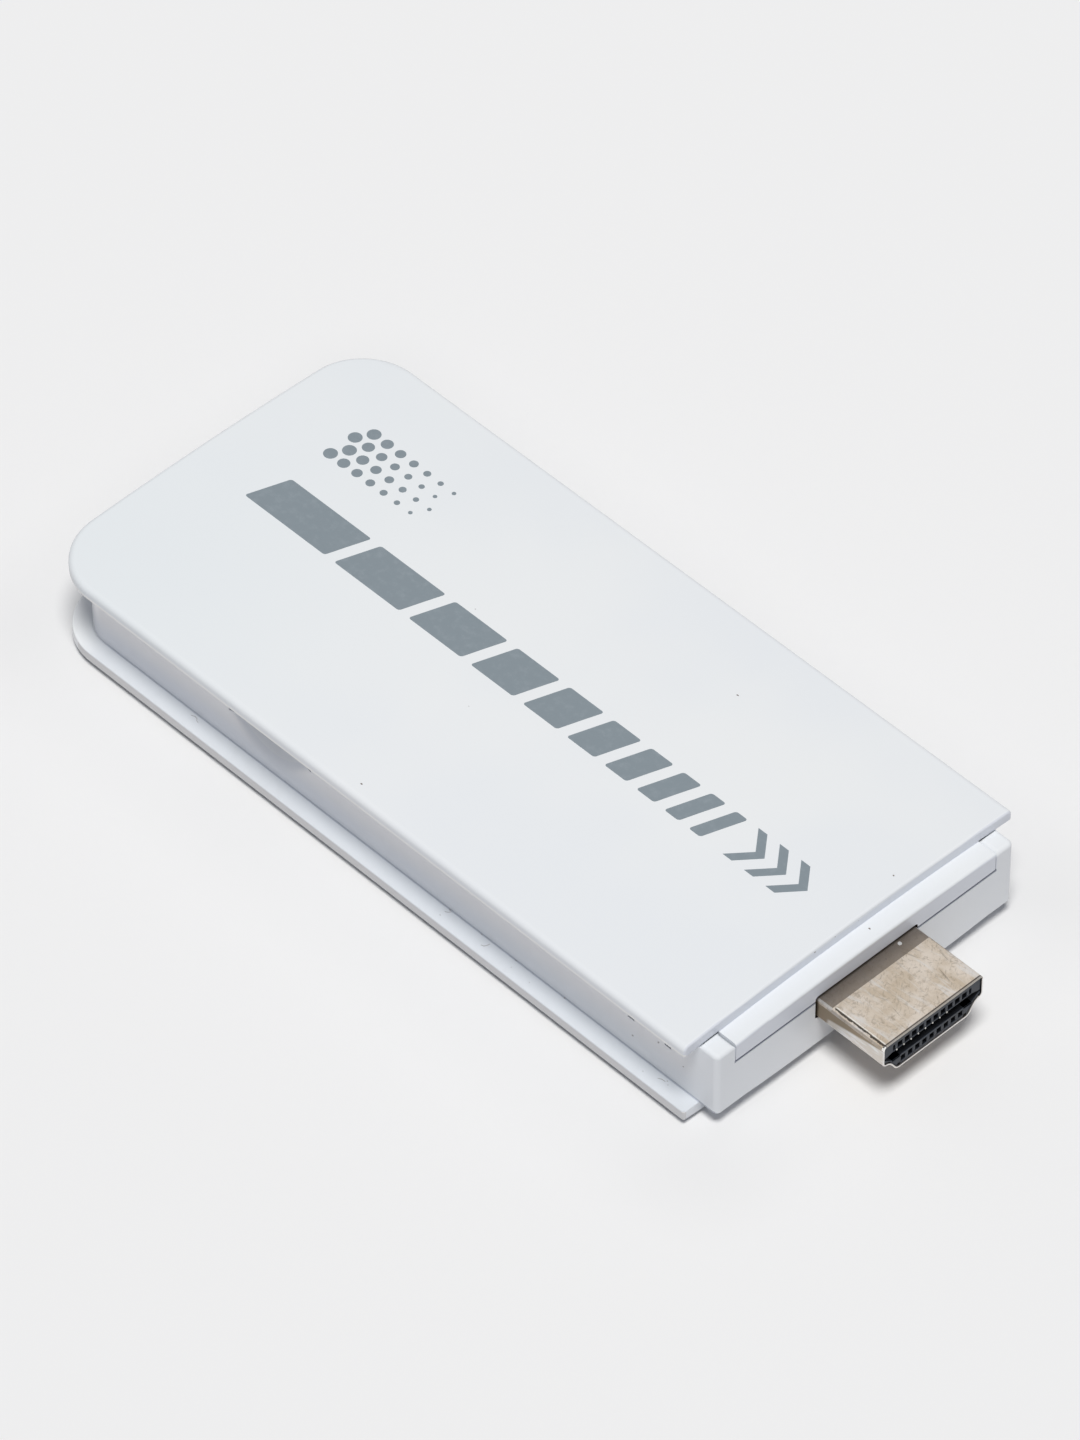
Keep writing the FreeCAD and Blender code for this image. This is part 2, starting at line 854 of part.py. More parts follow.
def make_micro_usb_tongue():
    back = micro_front() - micro_length + micro_sheet
    x = far_x + micro_setback
    body = section_along_y(micro_points(micro_sheet), back, back + micro_back_length)
    blade_low = board_top + micro_height - micro_sheet - micro_tongue_thickness * 2
    blade = block(
        x - micro_tongue_width / 2,
        x + micro_tongue_width / 2,
        back + micro_back_length - 0.2,
        back + micro_back_length + micro_tongue_length,
        blade_low,
        blade_low + micro_tongue_thickness,
    )
    return body.fuse(blade).removeSplitter()


def make_micro_usb_contacts():
    back = micro_front() - micro_length + micro_sheet + micro_back_length
    high = board_top + micro_height - micro_sheet - micro_tongue_thickness * 2
    length = micro_contact_length
    thick = micro_contact_thickness
    strips = []
    for index in range(micro_contact_count):
        x = far_x + micro_setback + (index - (micro_contact_count - 1) / 2) * micro_contact_pitch
        strips.append(centred_block(x, back + length / 2, high - thick, micro_contact_width, length, thick))
    return Part.makeCompound(strips)


def make_card_socket_base():
    low_x = socket_low_x - socket_side
    high_x = socket_high_x + socket_side
    back = socket_back_y + socket_back
    base = block(low_x, high_x, socket_front_y, back, board_top, socket_top)
    room = block(socket_low_x, socket_high_x, socket_front_y - 1, socket_back_y, board_top + socket_floor,
                 socket_top + 1)
    return base.cut(room)


def make_card_socket_cover():
    sheet = socket_sheet
    low_x = socket_low_x - socket_side - sheet
    high_x = socket_high_x + socket_side + sheet
    back = socket_back_y + socket_back
    lid = block(low_x, high_x, socket_front_y, back, board_top, socket_top + sheet)
    hollow = block(low_x + sheet, high_x - sheet, socket_front_y - 1, back + 1, board_z, socket_top)
    lid = lid.cut(hollow)
    mid_y = (socket_front_y + back) / 2
    window = centred_block(slot_x, mid_y, socket_top - 0.1, cover_window_width, cover_window_length, 1)
    return lid.cut(window)


def make_card_contacts():
    length = card_contact_length
    low = board_top + socket_floor
    y = card_inner_y - toe_length - length / 2
    strips = []
    for index in range(card_contact_count):
        x = slot_x + (index - (card_contact_count - 1) / 2) * card_contact_pitch
        strips.append(centred_block(x, y, low, card_contact_width, length, card_contact_thickness))
    return Part.makeCompound(strips)


def make_card_ejector():
    # A side rail with a toe that reaches behind the card's inner end.
    far_edge = rail_x + rail_width
    top = rail_z + rail_height
    rail = block(rail_x, far_edge, rail_back_y - rail_length, rail_back_y, rail_z, top)
    toe = block(rail_x - toe_width, far_edge, rail_back_y - toe_length, rail_back_y, rail_z, top)
    return rail.fuse(toe).removeSplitter()


def make_ejector_spring():
    radius = (spring_outer - spring_wire) / 2
    length = spring_length - spring_wire
    x = rail_x + rail_width / 2
    z = rail_z + rail_height / 2
    path = Part.makeHelix(length / spring_turns, length, radius)
    ring = Part.makeCircle(spring_wire / 2, vec(radius, 0, 0), vec(0, 1, 0))
    coil = Part.Wire(path.Edges).makePipeShell([Part.Wire([ring])], True, True)
    coil.rotate(vec(0, 0, 0), vec(1, 0, 0), -90)
    coil.translate(vec(x, rail_back_y + spring_wire / 2, z))
    return coil


def make_memory_card():
    half = card_width / 2
    neck_x = slot_x + half - card_neck
    neck_y = card_inner_y - card_neck_length
    slope = card_neck * 0.8
    points = [
        (slot_x - half, card_outer_y), (slot_x + half, card_outer_y), (slot_x + half, neck_y - slope),
        (neck_x, neck_y), (neck_x, card_inner_y), (slot_x - half, card_inner_y),
    ]
    corners = [vec(x, y, card_z) for x, y in points]
    card = Part.Face(Part.makePolygon(corners + corners[:1])).extrude(vec(0, 0, card_thickness))
    card = soften(card, is_vertical, card_corner_round)
    ridge_y = card_outer_y + card_ridge_inset + card_ridge_length / 2
    ridge_width = card_width - 4 * card_ridge_inset
    ridge_height = card_thickness + card_ridge_height
    ridge = centred_block(slot_x, ridge_y, card_z, ridge_width, card_ridge_length, ridge_height)
    return card.fuse(ridge).removeSplitter()


def make_main_processor():
    x = processor_x
    chip = centred_block(x, 0, board_top, processor_size, processor_size, processor_height)
    away = processor_size * 0.4
    mark_z = board_top + processor_height - mark_depth
    mark = upright(x - away, -away, mark_z, mark_diameter, processor_height)
    return soften(chip, is_vertical, chip_corner_round).cut(mark)


def make_thermal_pad():
    low = board_top + processor_height
    return centred_block(processor_x, 0, low, pad_size, pad_size, pad_height)


def make_heat_spreader():
    x = processor_x
    low = board_top + processor_height + pad_height
    high = cover_z - fin_headroom
    base = centred_block(x, 0, low, spreader_size, spreader_size, spreader_base)
    step = (spreader_size - fin_thickness) / (fin_count - 1)
    fins = []
    for index in range(fin_count):
        y = (index - (fin_count - 1) / 2) * step
        fins.append(centred_block(x, y, low, spreader_size, fin_thickness, high - low))
    return base.fuse(fins).removeSplitter()


def make_memory_chips():
    x = memory_x
    upper = centred_block(x, 0, board_top, memory_width, memory_length, memory_height)
    lower = centred_block(x, 0, board_z - memory_height, memory_width, memory_length, memory_height)
    return Part.makeCompound([soften(chip, is_vertical, chip_corner_round) for chip in (upper, lower)])


def leg_points(side, x, half):
    thick = leg_thickness
    high = board_top + leg_lift
    inner = x + side * (half - leg_thickness)
    knee = x + side * (half + leg_reach * 0.35)
    foot = x + side * (half + leg_reach)
    return [
        (inner, high), (knee, high), (knee + side * thick, board_top + thick), (foot, board_top + thick),
        (foot, board_top), (knee, board_top), (knee - side * thick, high - thick), (inner, high - thick),
    ]


def make_flash_chip():
    x = memory_x
    y = -memory_length / 2 - flash_gap - flash_size / 2
    shape = centred_block(x, y, board_top + leg_thickness / 2, flash_size, flash_size, flash_height)
    shape = soften(shape, is_vertical, chip_corner_round)
    legs = []
    for side in (-1, 1):
        for index in range(leg_count):
            place = y + (index - (leg_count - 1) / 2) * leg_pitch
            legs.append(contact_strip(leg_points(side, x, flash_size / 2), place, leg_width))
    return shape.fuse(legs).removeSplitter()


def make_crystal_can():
    x = memory_x
    y = memory_length / 2 + crystal_gap + crystal_width / 2
    length = crystal_length
    width = crystal_width
    rim = centred_block(x, y, board_top, length + crystal_rim, width + crystal_rim, crystal_rim)
    can = centred_block(x, y, board_top, length, width, crystal_height)
    parts = [soften(part, is_vertical, crystal_corner_round) for part in (rim, can)]
    return parts[0].fuse(parts[1]).removeSplitter()


def make_power_inductors():
    shapes = []
    y = board_half - inductor_edge_inset
    for index in range(inductor_count):
        x = far_x + inductor_setback + index * inductor_pitch
        body = centred_block(x, y, board_top, inductor_size, inductor_size, inductor_height)
        shapes.append(soften(body, is_vertical, inductor_corner))
    return Part.makeCompound(shapes)


def chip_part(x, y, length, width, height):
    # A small block with a raised cap of solder metal at each end.
    cap = capacitor_cap
    middle = centred_block(x, y, board_top, length, width - capacitor_step, height - capacitor_step)
    reach = (length - cap) / 2
    ends = [centred_block(x + side * reach, y, board_top, cap, width, height) for side in (-1, 1)]
    return middle.fuse(ends).removeSplitter()


def make_capacitors():
    x = processor_x
    away = processor_size / 2 + capacitor_gap
    shapes = []
    for side in (-1, 1):
        for index in range(capacitors_per_side):
            along = (index - (capacitors_per_side - 1) / 2) * capacitor_pitch
            size = (capacitor_length, capacitor_width, capacitor_height)
            shapes.append(chip_part(x + along, side * away, *size))
    return Part.makeCompound(shapes)


def make_resistors():
    shapes = []
    for index in range(resistor_count):
        y = (index - (resistor_count - 1) / 2) * resistor_pitch
        shapes.append(
            centred_block(resistor_x, y, board_top, resistor_length, resistor_width, resistor_height)
        )
    return Part.makeCompound(shapes)


def make_regulators():
    y = board_half - inductor_edge_inset - inductor_size / 2 - regulator_gap - regulator_width / 2
    shapes = []
    for index in range(regulator_count):
        x = far_x + inductor_setback + index * inductor_pitch
        shapes.append(centred_block(x, y, board_top, regulator_length, regulator_width, regulator_height))
    return Part.makeCompound(shapes)


nodes = {
    "bottom_case": make_bottom_case,
    "top_cover": make_top_cover,
    "circuit_board": make_circuit_board,
    "board_screws": make_board_screws,
    "main_processor": make_main_processor,
    "thermal_pad": make_thermal_pad,
    "heat_spreader": make_heat_spreader,
    "memory_chips": make_memory_chips,
    "flash_chip": make_flash_chip,
    "crystal_can": make_crystal_can,
    "power_inductors": make_power_inductors,
    "capacitors": make_capacitors,
    "resistors": make_resistors,
    "regulators": make_regulators,
    "hdmi_shell": make_hdmi_shell,
    "hdmi_insulator": make_hdmi_insulator,
    "hdmi_upper_contacts": make_hdmi_upper_contacts,
    "hdmi_lower_contacts": make_hdmi_lower_contacts,
    "usb_shell": make_usb_shell,
    "usb_tongue": make_usb_tongue,
    "usb_contacts": make_usb_contacts,
    "micro_usb_shell": make_micro_usb_shell,
    "micro_usb_tongue": make_micro_usb_tongue,
    "micro_usb_contacts": make_micro_usb_contacts,
    "card_socket_base": make_card_socket_base,
    "card_socket_cover": make_card_socket_cover,
    "card_contacts": make_card_contacts,
    "card_ejector": make_card_ejector,
    "ejector_spring": make_ejector_spring,
    "memory_card": make_memory_card,
}

os.makedirs("parts", exist_ok=True)
for name, make in nodes.items():
    shape = make()
    shape.exportStep("parts/" + name + ".step")
    box = shape.BoundBox
    print(name, len(shape.Solids), "solids, valid" if shape.isValid() else "solids, NOT VALID",
          round(shape.Volume, 2), [round(value, 2) for value in
                                   (box.XMin, box.YMin, box.ZMin, box.XMax, box.YMax, box.ZMax)])
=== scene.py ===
import bmesh
import bpy
import math
import random
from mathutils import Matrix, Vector


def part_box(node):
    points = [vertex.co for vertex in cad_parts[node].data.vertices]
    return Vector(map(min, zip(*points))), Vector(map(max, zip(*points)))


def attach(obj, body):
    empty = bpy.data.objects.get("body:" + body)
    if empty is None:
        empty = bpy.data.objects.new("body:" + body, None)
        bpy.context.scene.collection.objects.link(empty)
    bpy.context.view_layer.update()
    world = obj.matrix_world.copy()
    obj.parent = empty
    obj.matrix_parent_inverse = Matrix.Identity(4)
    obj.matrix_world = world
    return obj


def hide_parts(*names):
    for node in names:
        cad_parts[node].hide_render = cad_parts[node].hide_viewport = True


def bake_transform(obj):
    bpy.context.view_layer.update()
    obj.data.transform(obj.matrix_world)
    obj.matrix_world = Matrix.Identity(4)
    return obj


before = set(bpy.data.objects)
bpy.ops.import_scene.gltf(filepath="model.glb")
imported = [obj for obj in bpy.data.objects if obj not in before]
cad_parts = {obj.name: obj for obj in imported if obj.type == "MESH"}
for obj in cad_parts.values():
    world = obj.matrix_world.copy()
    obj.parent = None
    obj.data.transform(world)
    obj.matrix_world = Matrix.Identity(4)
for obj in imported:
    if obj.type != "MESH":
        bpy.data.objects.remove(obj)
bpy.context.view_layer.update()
mm = 0.001
far = 100.0  # past every edge of the stick, in millimetres
print("frame loaded:", len(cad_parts), "nodes")


# A socket of a node tree that can stand in a sum
class Wire:
    def __init__(self, finish, socket):
        self.finish = finish
        self.socket = socket

    def maths(self, operation, *parts):
        return self.finish.node("Math", {"operation": operation}, parts)

    def __add__(self, other):
        return self.maths("ADD", self, other)

    def __radd__(self, other):
        return self.maths("ADD", other, self)

    def __sub__(self, other):
        return self.maths("SUBTRACT", self, other)

    def __rsub__(self, other):
        return self.maths("SUBTRACT", other, self)

    def __mul__(self, other):
        return self.maths("MULTIPLY", self, other)

    def __rmul__(self, other):
        return self.maths("MULTIPLY", other, self)

    def __truediv__(self, other):
        return self.maths("DIVIDE", self, other)

    def __pow__(self, other):
        return self.maths("POWER", self, other)

    def __gt__(self, other):
        return self.maths("GREATER_THAN", self, other)

    def __lt__(self, other):
        return self.maths("LESS_THAN", self, other)

    def larger(self, other):
        return self.maths("MAXIMUM", self, other)

    def unsigned(self):
        return self.maths("ABSOLUTE", self)

    def within(self, low, high):  # 1 between two values
        return (self > low) * (self < high)

    def span(self, low, high, start=0.0, end=1.0):  # smooth step from start to end
        settings = {"interpolation_type": "SMOOTHSTEP"}
        return self.finish.node("MapRange", settings, {0: self, 1: low, 2: high, 3: start, 4: end})


# One material while it is wired
class Finish:
    def __init__(self, name, **constants):
        self.material = bpy.data.materials.new(name)
        self.material.use_nodes = True
        self.tree = self.material.node_tree
        self.shader = self.tree.nodes["Principled BSDF"]
        for label, value in constants.items():
            self.shader.inputs[label.replace("_", " ")].default_value = value
        self.place = self.node("TexCoord", out="Object")

    def node(self, kind, settings=None, values=(), out=0):
        made = self.tree.nodes.new("ShaderNode" + kind)
        for key, value in (settings or {}).items():
            setattr(made, key, value)
        pairs = values.items() if isinstance(values, dict) else enumerate(values)
        for key, value in pairs:
            if isinstance(value, Wire):
                self.tree.links.new(value.socket, made.inputs[key])
            else:
                made.inputs[key].default_value = value
        return Wire(self, made.outputs[out])

    def noise(self, scale, detail=3.0, rough=0.5, place=None, warp=0.0):
        values = {"Vector": place or self.place, "Scale": scale, "Detail": detail, "Roughness": rough,
                  "Distortion": warp}
        return self.node("TexNoise", {}, values)

    def strokes(self, stretch, turn, detail, rough, warp=0.0):  # noise that is turned and then drawn out
        turned = self.node("Mapping", {}, {0: self.place, 2: (0, 0, turn)})
        return self.noise(1.0, detail, rough, self.node("Mapping", {}, {0: turned, 3: stretch}), warp)

    def cells(self, scale, feature="F1", out="Distance", scatter=1.0):
        values = {"Vector": self.place, "Scale": scale, "Randomness": scatter}
        return self.node("TexVoronoi", {"feature": feature}, values, out)

    def specks(self, scale, size, share):  # small spots in a few of the cells of a pattern
        colour = self.node("SeparateColor", {}, [self.cells(scale, out="Color")])
        return (self.cells(scale) < size) * (colour > 1.0 - share)

    def blend(self, amount, first, second):  # two colours
        return self.node("Mix", {"data_type": "RGBA"}, {0: amount, 6: first, 7: second}, 2)

    def axes(self):  # x, y and z in millimetres
        return [self.node("SeparateXYZ", {}, [self.place], index) / mm for index in range(3)]

    def bump(self, height, strength, distance, under=None):
        values = {"Height": height, "Strength": strength, "Distance": distance}
        if under:
            values["Normal"] = under
        return self.node("Bump", {}, values)

    def set(self, **wires):
        for label, wire in wires.items():
            self.tree.links.new(wire.socket, self.shader.inputs[label.replace("_", " ")])
        return self.material


def paint(finish, tone, look, ways, *names):  # lays the look's zones over a tone, all or the named ones
    for name in names or look["zones"]:
        tint, amount, limits, fades = look["zones"][name]
        masks = [ways[way].within(*ends) for way, ends in limits.items()]
        masks += [ways[way].span(*fade) for way, fade in fades.items()]
        tone = finish.blend(math.prod(masks, start=amount), tone, look[tint])
    return tone


def pastCorner(along, across):  # distance outwards from a corner, given how far past its two sides
    return (along.larger(0.0) ** 2.0 + across.larger(0.0) ** 2.0) ** 0.5


def shade(red, green, blue):  # a colour as it shows on a screen, 0 to 255
    def straight(value):
        value = value / 255
        return value / 12.92 if value <= 0.04045 else ((value + 0.055) / 1.055) ** 2.4

    return (straight(red), straight(green), straight(blue), 1.0)


def addObject(bm, name, material):
    mesh = bpy.data.meshes.new(name)
    bm.to_mesh(mesh)
    bm.free()
    mesh.materials.append(material)
    made = bpy.data.objects.new(name, mesh)
    bpy.context.scene.collection.objects.link(made)
    return made


def settle(bm, name, material, body="casing", sharp=30.0):  # a finished mesh becomes a riding piece
    limit = math.radians(sharp)
    for face in bm.faces:
        face.smooth = True
    for edge in bm.edges:
        edge.smooth = edge.is_manifold and edge.calc_face_angle(0.0) < limit
    piece = addObject(bm, name, material)
    piece.modifiers.new("weighted_normals", "WEIGHTED_NORMAL").keep_sharp = True
    if body:
        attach(piece, body)
    return piece


def nodeShape(node):  # a node's own shape, with its loose triangles joined
    bm = bmesh.new()
    bm.from_mesh(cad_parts[node].data)
    bmesh.ops.remove_doubles(bm, verts=bm.verts, dist=0.0005 * mm)
    return bm


def smoothCopy(node, name, material, body="casing"):  # a node's own shape with clean shading
    piece = settle(nodeShape(node), name, material, body, 26.0)
    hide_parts(node)
    return piece


def dress(material, *nodes):
    for node in nodes:
        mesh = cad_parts[node].data
        mesh.materials.clear()
        mesh.materials.append(material)


def soften(bm, items, kind, size, segments):  # rounds corners or edges, by a size in metres
    bmesh.ops.bevel(bm, geom=list(items), affect=kind, offset=size, segments=segments, profile=0.5,
                    material=-1)


def only(items, kind):  # the vertices or the faces among the results of an operator
    return [item for item in items if isinstance(item, kind)]


def mirrored(side):  # an outline from its right half
    return side + [(-y, z) for y, z in reversed(side)]


def makeShell(name, outline, path, look, material, node, closed=False):
    # A folded sheet tube: its outline at the back, in millimetres, drawn out along a path
    bm = bmesh.new()
    corners = [bm.verts.new(Vector(point) * mm) for point in outline]
    bm.faces.new(corners)
    soften(bm, corners, "VERTICES", look["corner"] * mm, 5)
    back = bm.faces[:]
    grown = bmesh.ops.extrude_face_region(bm, geom=back, use_keep_orig=True)["geom"]
    front = only(grown, bmesh.types.BMFace)
    bmesh.ops.translate(bm, verts=only(grown, bmesh.types.BMVert), vec=Vector(path) * mm)
    bmesh.ops.delete(bm, geom=front if closed else front + back, context="FACES_ONLY")
    bmesh.ops.recalc_face_normals(bm, faces=bm.faces)
    bmesh.ops.solidify(bm, geom=bm.faces, thickness=look["sheet"] * mm)
    ahead = Vector(path).normalized()
    mouth = max(vert.co.dot(ahead) for vert in bm.verts) - 0.01 * mm
    rim = [edge for edge in bm.edges if min(vert.co.dot(ahead) for vert in edge.verts) > mouth]
    rim = [edge for edge in rim if edge.calc_face_angle(0.0) > 1.0]
    soften(bm, rim, "EDGES", look["rim"] * mm, 3)
    for low, high in look.get("tabs", []):
        addBlock(bm, low, high, look["rim"])
    bmesh.ops.recalc_face_normals(bm, faces=bm.faces)
    piece = settle(bm, name, material)
    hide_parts(node)


def addBlock(bm, low, high, corner):  # a block with soft edges between two corners, in millimetres
    low, high = Vector(low), Vector(high)
    made = bmesh.ops.create_cube(bm, size=mm)["verts"]
    bmesh.ops.scale(bm, verts=made, vec=high - low)
    bmesh.ops.translate(bm, verts=made, vec=(high + low) / 2 * mm)
    soften(bm, {edge for vert in made for edge in vert.link_edges}, "EDGES", corner * mm, 2)


# White casing

plateEnd = 41.15  # where both plates end, in millimetres along x
wallFace = 43.48  # just behind the front wall's face
lipHalf = 18.3  # half width of the cover's lip

plasticLook = {
    "tone": shade(235, 238, 241),
    "cool": shade(231, 235, 240),
    "dust": shade(150, 146, 142),
    "wallShade": shade(206, 212, 228),
    "ledgeShade": shade(206, 212, 220),
    # the foot tint is painted shade on the lower plate's outer edge
    "foot": shade(202, 200, 199),
    # the edge tint is painted light on the upper plate's outer edge, near its lower rim
    "edge": shade(250, 250, 248),
    "wallLight": shade(249, 250, 252),
    # painted shade, darker towards the far end of the top
    "farTopShade": shade(227, 233, 238),
    "creaseShade": shade(118, 128, 152),  # painted shade where the lower plate meets the wall
    # the seam tint is painted shade in the slit under the cover's lip
    "seam": shade(84, 92, 114),
    # painted shade along the groove under the lip, on the front faces
    "grooveShade": shade(108, 116, 138),
    # painted shade inside the hole for the plug
    "holeShade": shade(52, 40, 34),
    "roughness": 0.18,
    "farArc": (-45.75, 15.85, 4.85),  # x, y and radius of the core's far corners
    "zones": {  # painted shade and light: tint, amount, limits in millimetres, fades: between two places, from one amount to another
        "coreWall": ("wallShade", 1.0, {"z": (2.1, 9.98), "outside": (-0.4, 0.2)},
                     {"x": (-45.0, 42.0, 0.35, 0.0)}),
        "ledge": ("ledgeShade", 1.0, {"z": (1.9, 2.05), "outside": (-0.2, far)},
                  {"x": (-49.5, -44.0, 0.0, 0.65)}),
        # painted shade on the lower plate's outer edge
        "lowerRimShade": ("foot", 0.6, {"z": (-far, 1.9), "off": (22.5, far)}, {}),
        "plateFront": ("wallShade", 0.4, {"x": (41.0, 41.2), "z": (10.0, 11.6)}, {}),
        "lipFront": ("wallShade", 0.4,
                     {"x": (wallFace, far), "z": (8.0, 10.2), "off": (-far, lipHalf)}, {}),
        # painted light on the upper plate's outer edge, near its lower rim
        "upperRimLight": ("edge", 0.8, {"z": (10.0, 10.35), "off": (22.55, far)}, {}),
        "wallGlow": ("wallLight", 1.0, {"z": (2.1, 9.98), "outside": (-0.4, 0.2)},
                     {"z": (3.2, 6.0), "x": (plateEnd - 3.0, plateEnd, 1.0, 0.0), "outside": (-0.3, -0.03)}),
        "thumbScoop": ("ledgeShade", 0.5,
                       {"x": (-33.0, -8.0), "y": (-far, -18.0), "z": (3.0, 9.98), "outside": (-2.0, far)},
                       {"outside": (-0.6, -0.03, 1.0, 0.0)}),
        # painted shade, darker towards the far end of the top
        "farTopShade": ("farTopShade", 1.0, {"z": (10.4, far)},
                   {"x": (-46.0, -5.0, 0.8, 0.0), "y": (-18.0, 14.0, 1.0, 0.4)}),
        # painted shade in the corner along the wall's foot
        "wallCreaseShade": ("creaseShade", 1.0, {"z": (1.9, 2.13), "outside": (-0.1, 0.14)},
                       {"x": (-49.5, -44.0, 0.1, 0.4)}),
        # painted shade in the slit under the cover's lip
        "lipSeamShade": ("seam", 0.9,
                    {"x": (plateEnd - 0.3, wallFace), "z": (7.7, 7.99), "off": (-far, lipHalf)}, {}),
        # painted shade along the groove under the lip, on the front faces
        "lipGrooveShade": ("grooveShade", 0.7,
                      {"x": (wallFace, far), "z": (7.66, 8.03), "off": (-far, lipHalf)}, {}),
        # painted shade inside the hole for the plug
        "plugHoleShade": ("holeShade", 0.95,
                     {"x": (plateEnd - 0.3, wallFace), "z": (3.5, 8.7), "off": (-far, 7.3)}, {}),
    },
}


def whitePlastic():
    look = plasticLook
    finish = Finish("white_plastic", IOR=1.5)
    drift = finish.noise(28.0, 3.0).span(0.35, 0.65)
    fine = finish.noise(520.0, 4.0)
    tone = finish.blend(drift, look["tone"], look["cool"])
    tone = finish.blend(finish.specks(640.0, 0.05, 0.006) * 0.7, tone, look["dust"])
    scratch = finish.strokes((70, 2600, 2600), 0.7, 1.0, 0.4).span(0.70, 0.74)
    scratch = scratch + finish.strokes((90, 3100, 3100), -0.45, 1.0, 0.4).span(0.71, 0.75)
    x, y, z = finish.axes()
    off = y.unsigned()
    arcX, arcY, radius = look["farArc"]
    outside = pastCorner(arcX - x, off - arcY) - radius  # distance from the core's outline
    # the zones' painted shade and light, laid over the plastic's tone
    tone = paint(finish, tone, look, {"x": x, "y": y, "z": z, "off": off, "outside": outside})
    rough = look["roughness"] + drift * 0.04 + fine * 0.05 + scratch * 0.015
    grain = finish.bump(finish.noise(3800.0, 2.0), 0.12, 0.02 * mm)
    waves = finish.bump(finish.noise(75.0, 2.0), 0.25, 0.05 * mm, grain)
    return finish.set(Base_Color=tone, Roughness=rough, Normal=waves)


casingPlastic = whitePlastic()
smoothCopy("bottom_case", "bottom_case_skin", casingPlastic)
smoothCopy("top_cover", "top_cover_skin", casingPlastic)
print("casing finished")

# Print on the cover

printLook = {
    "ink": shade(131, 142, 150),
    "worn": shade(158, 168, 176),
    "height": 5.0,  # of the row of bars
    "slant": 0.34,
    "start": -43.1,
    "firstBar": 12.0,
    "shrink": 0.8,
    "gap": 1.45,
    "bars": 10,
    "barCorner": 0.3,
    "chevrons": (27.1, 30.1, 33.1),
    "chevron": (2.1, 2.5, 1.25),  # length, half width, thickness
    "dots": (-42.3, 8.0),
    "dotRows": (4, 0.87),  # how many, and their distance as a share of the pitch
    "dotColumns": 7,
    "dotPitch": 2.0,
    "dotRadius": 0.78,
    "dotShrink": 0.115,  # the first radius's share that each column loses
    "dotSides": 20,
    "crown": 0.7,
    "halfWidth": 22.85,
    "ply": 0.02,
}

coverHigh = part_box("top_cover")[1].z / mm


def coverTop(y):  # the cover's height at y, in millimetres
    half, rise = printLook["halfWidth"], printLook["crown"]
    radius = (half ** 2 + rise ** 2) / (2 * rise)
    return coverHigh - radius + math.sqrt(radius ** 2 - y ** 2)


def printInk():
    finish = Finish("printed_grey_ink", IOR=1.45)
    patch = finish.noise(900.0, 5.0, 0.7).span(0.45, 0.8)
    grain = finish.noise(5200.0, 2.0)
    tone = finish.blend(patch * 0.35, printLook["ink"], printLook["worn"])
    height = finish.bump(grain, 0.1, 0.01 * mm)
    return finish.set(Base_Color=tone, Roughness=0.48 + grain * 0.1, Normal=height)


def flatShape(bm, points, corner=0.0):
    corners = [bm.verts.new((x, y, 0)) for x, y in points]
    bm.faces.new(corners)
    if corner:
        soften(bm, corners, "VERTICES", corner, 4)


def layPrint(bm, name, ink):  # flat shapes in millimetres are laid on the crowned cover
    bmesh.ops.recalc_face_normals(bm, faces=bm.faces)
    grown = bmesh.ops.extrude_face_region(bm, geom=bm.faces[:], use_keep_orig=True)["geom"]
    top = set(only(grown, bmesh.types.BMVert))
    for vert in bm.verts:
        lift = printLook["ply"] if vert in top else -printLook["ply"]
        vert.co.z = coverTop(vert.co.y) + lift
    bmesh.ops.scale(bm, verts=bm.verts, vec=(mm, mm, mm))
    bmesh.ops.recalc_face_normals(bm, faces=bm.faces)
    settle(bm, name, ink)


def printBars(ink):
    look = printLook
    half = look["height"] / 2
    lean = look["slant"] * half
    bm = bmesh.new()
    x, width = look["start"], look["firstBar"]
    for _ in range(look["bars"]):
        points = [(x - lean, -half), (x + width - lean, -half), (x + width + lean, half), (x + lean, half)]
        flatShape(bm, points, look["barCorner"])
        x += width + look["gap"]
        width *= look["shrink"]
    layPrint(bm, "print_bars", ink)


def printChevrons(ink):
    length, half, thick = printLook["chevron"]
    bm = bmesh.new()
    for x in printLook["chevrons"]:
        back = x - thick
        points = [(x, half), (x + length, 0), (x, -half), (back, -half), (back + length, 0), (back, half)]
        flatShape(bm, points)
    layPrint(bm, "print_chevrons", ink)


def printDots(ink):
    look = printLook
    startX, startY = look["dots"]
    pitch, sides = look["dotPitch"], look["dotSides"]
    rows, rowShare = look["dotRows"]
    turns = [2 * math.pi * step / sides for step in range(sides)]
    bm = bmesh.new()
    for row in range(rows):
        for column in range(look["dotColumns"]):
            x = startX + (column + 0.5 * (row % 2)) * pitch
            y = startY + row * pitch * rowShare
            radius = look["dotRadius"] * (1.0 - look["dotShrink"] * column)
            flatShape(bm, [(x + radius * math.cos(turn), y + radius * math.sin(turn)) for turn in turns])
    layPrint(bm, "print_dots", ink)


coverInk = printInk()
printBars(coverInk)
printChevrons(coverInk)
printDots(coverInk)
print("print laid on the cover")

# Plug

plugMouth = 52.75  # the plug's open end, in millimetres along x
ringEnd = 1.95  # how far the darker ring, a painted reflection of the casing's front, reaches from the casing
plugSide = 6.85  # the plug's sides begin here, in millimetres from its middle
nearCorner = -6.62  # and its near corner past here, along y
topDrop = 0.12  # what is less far below the plug's highest point is its top

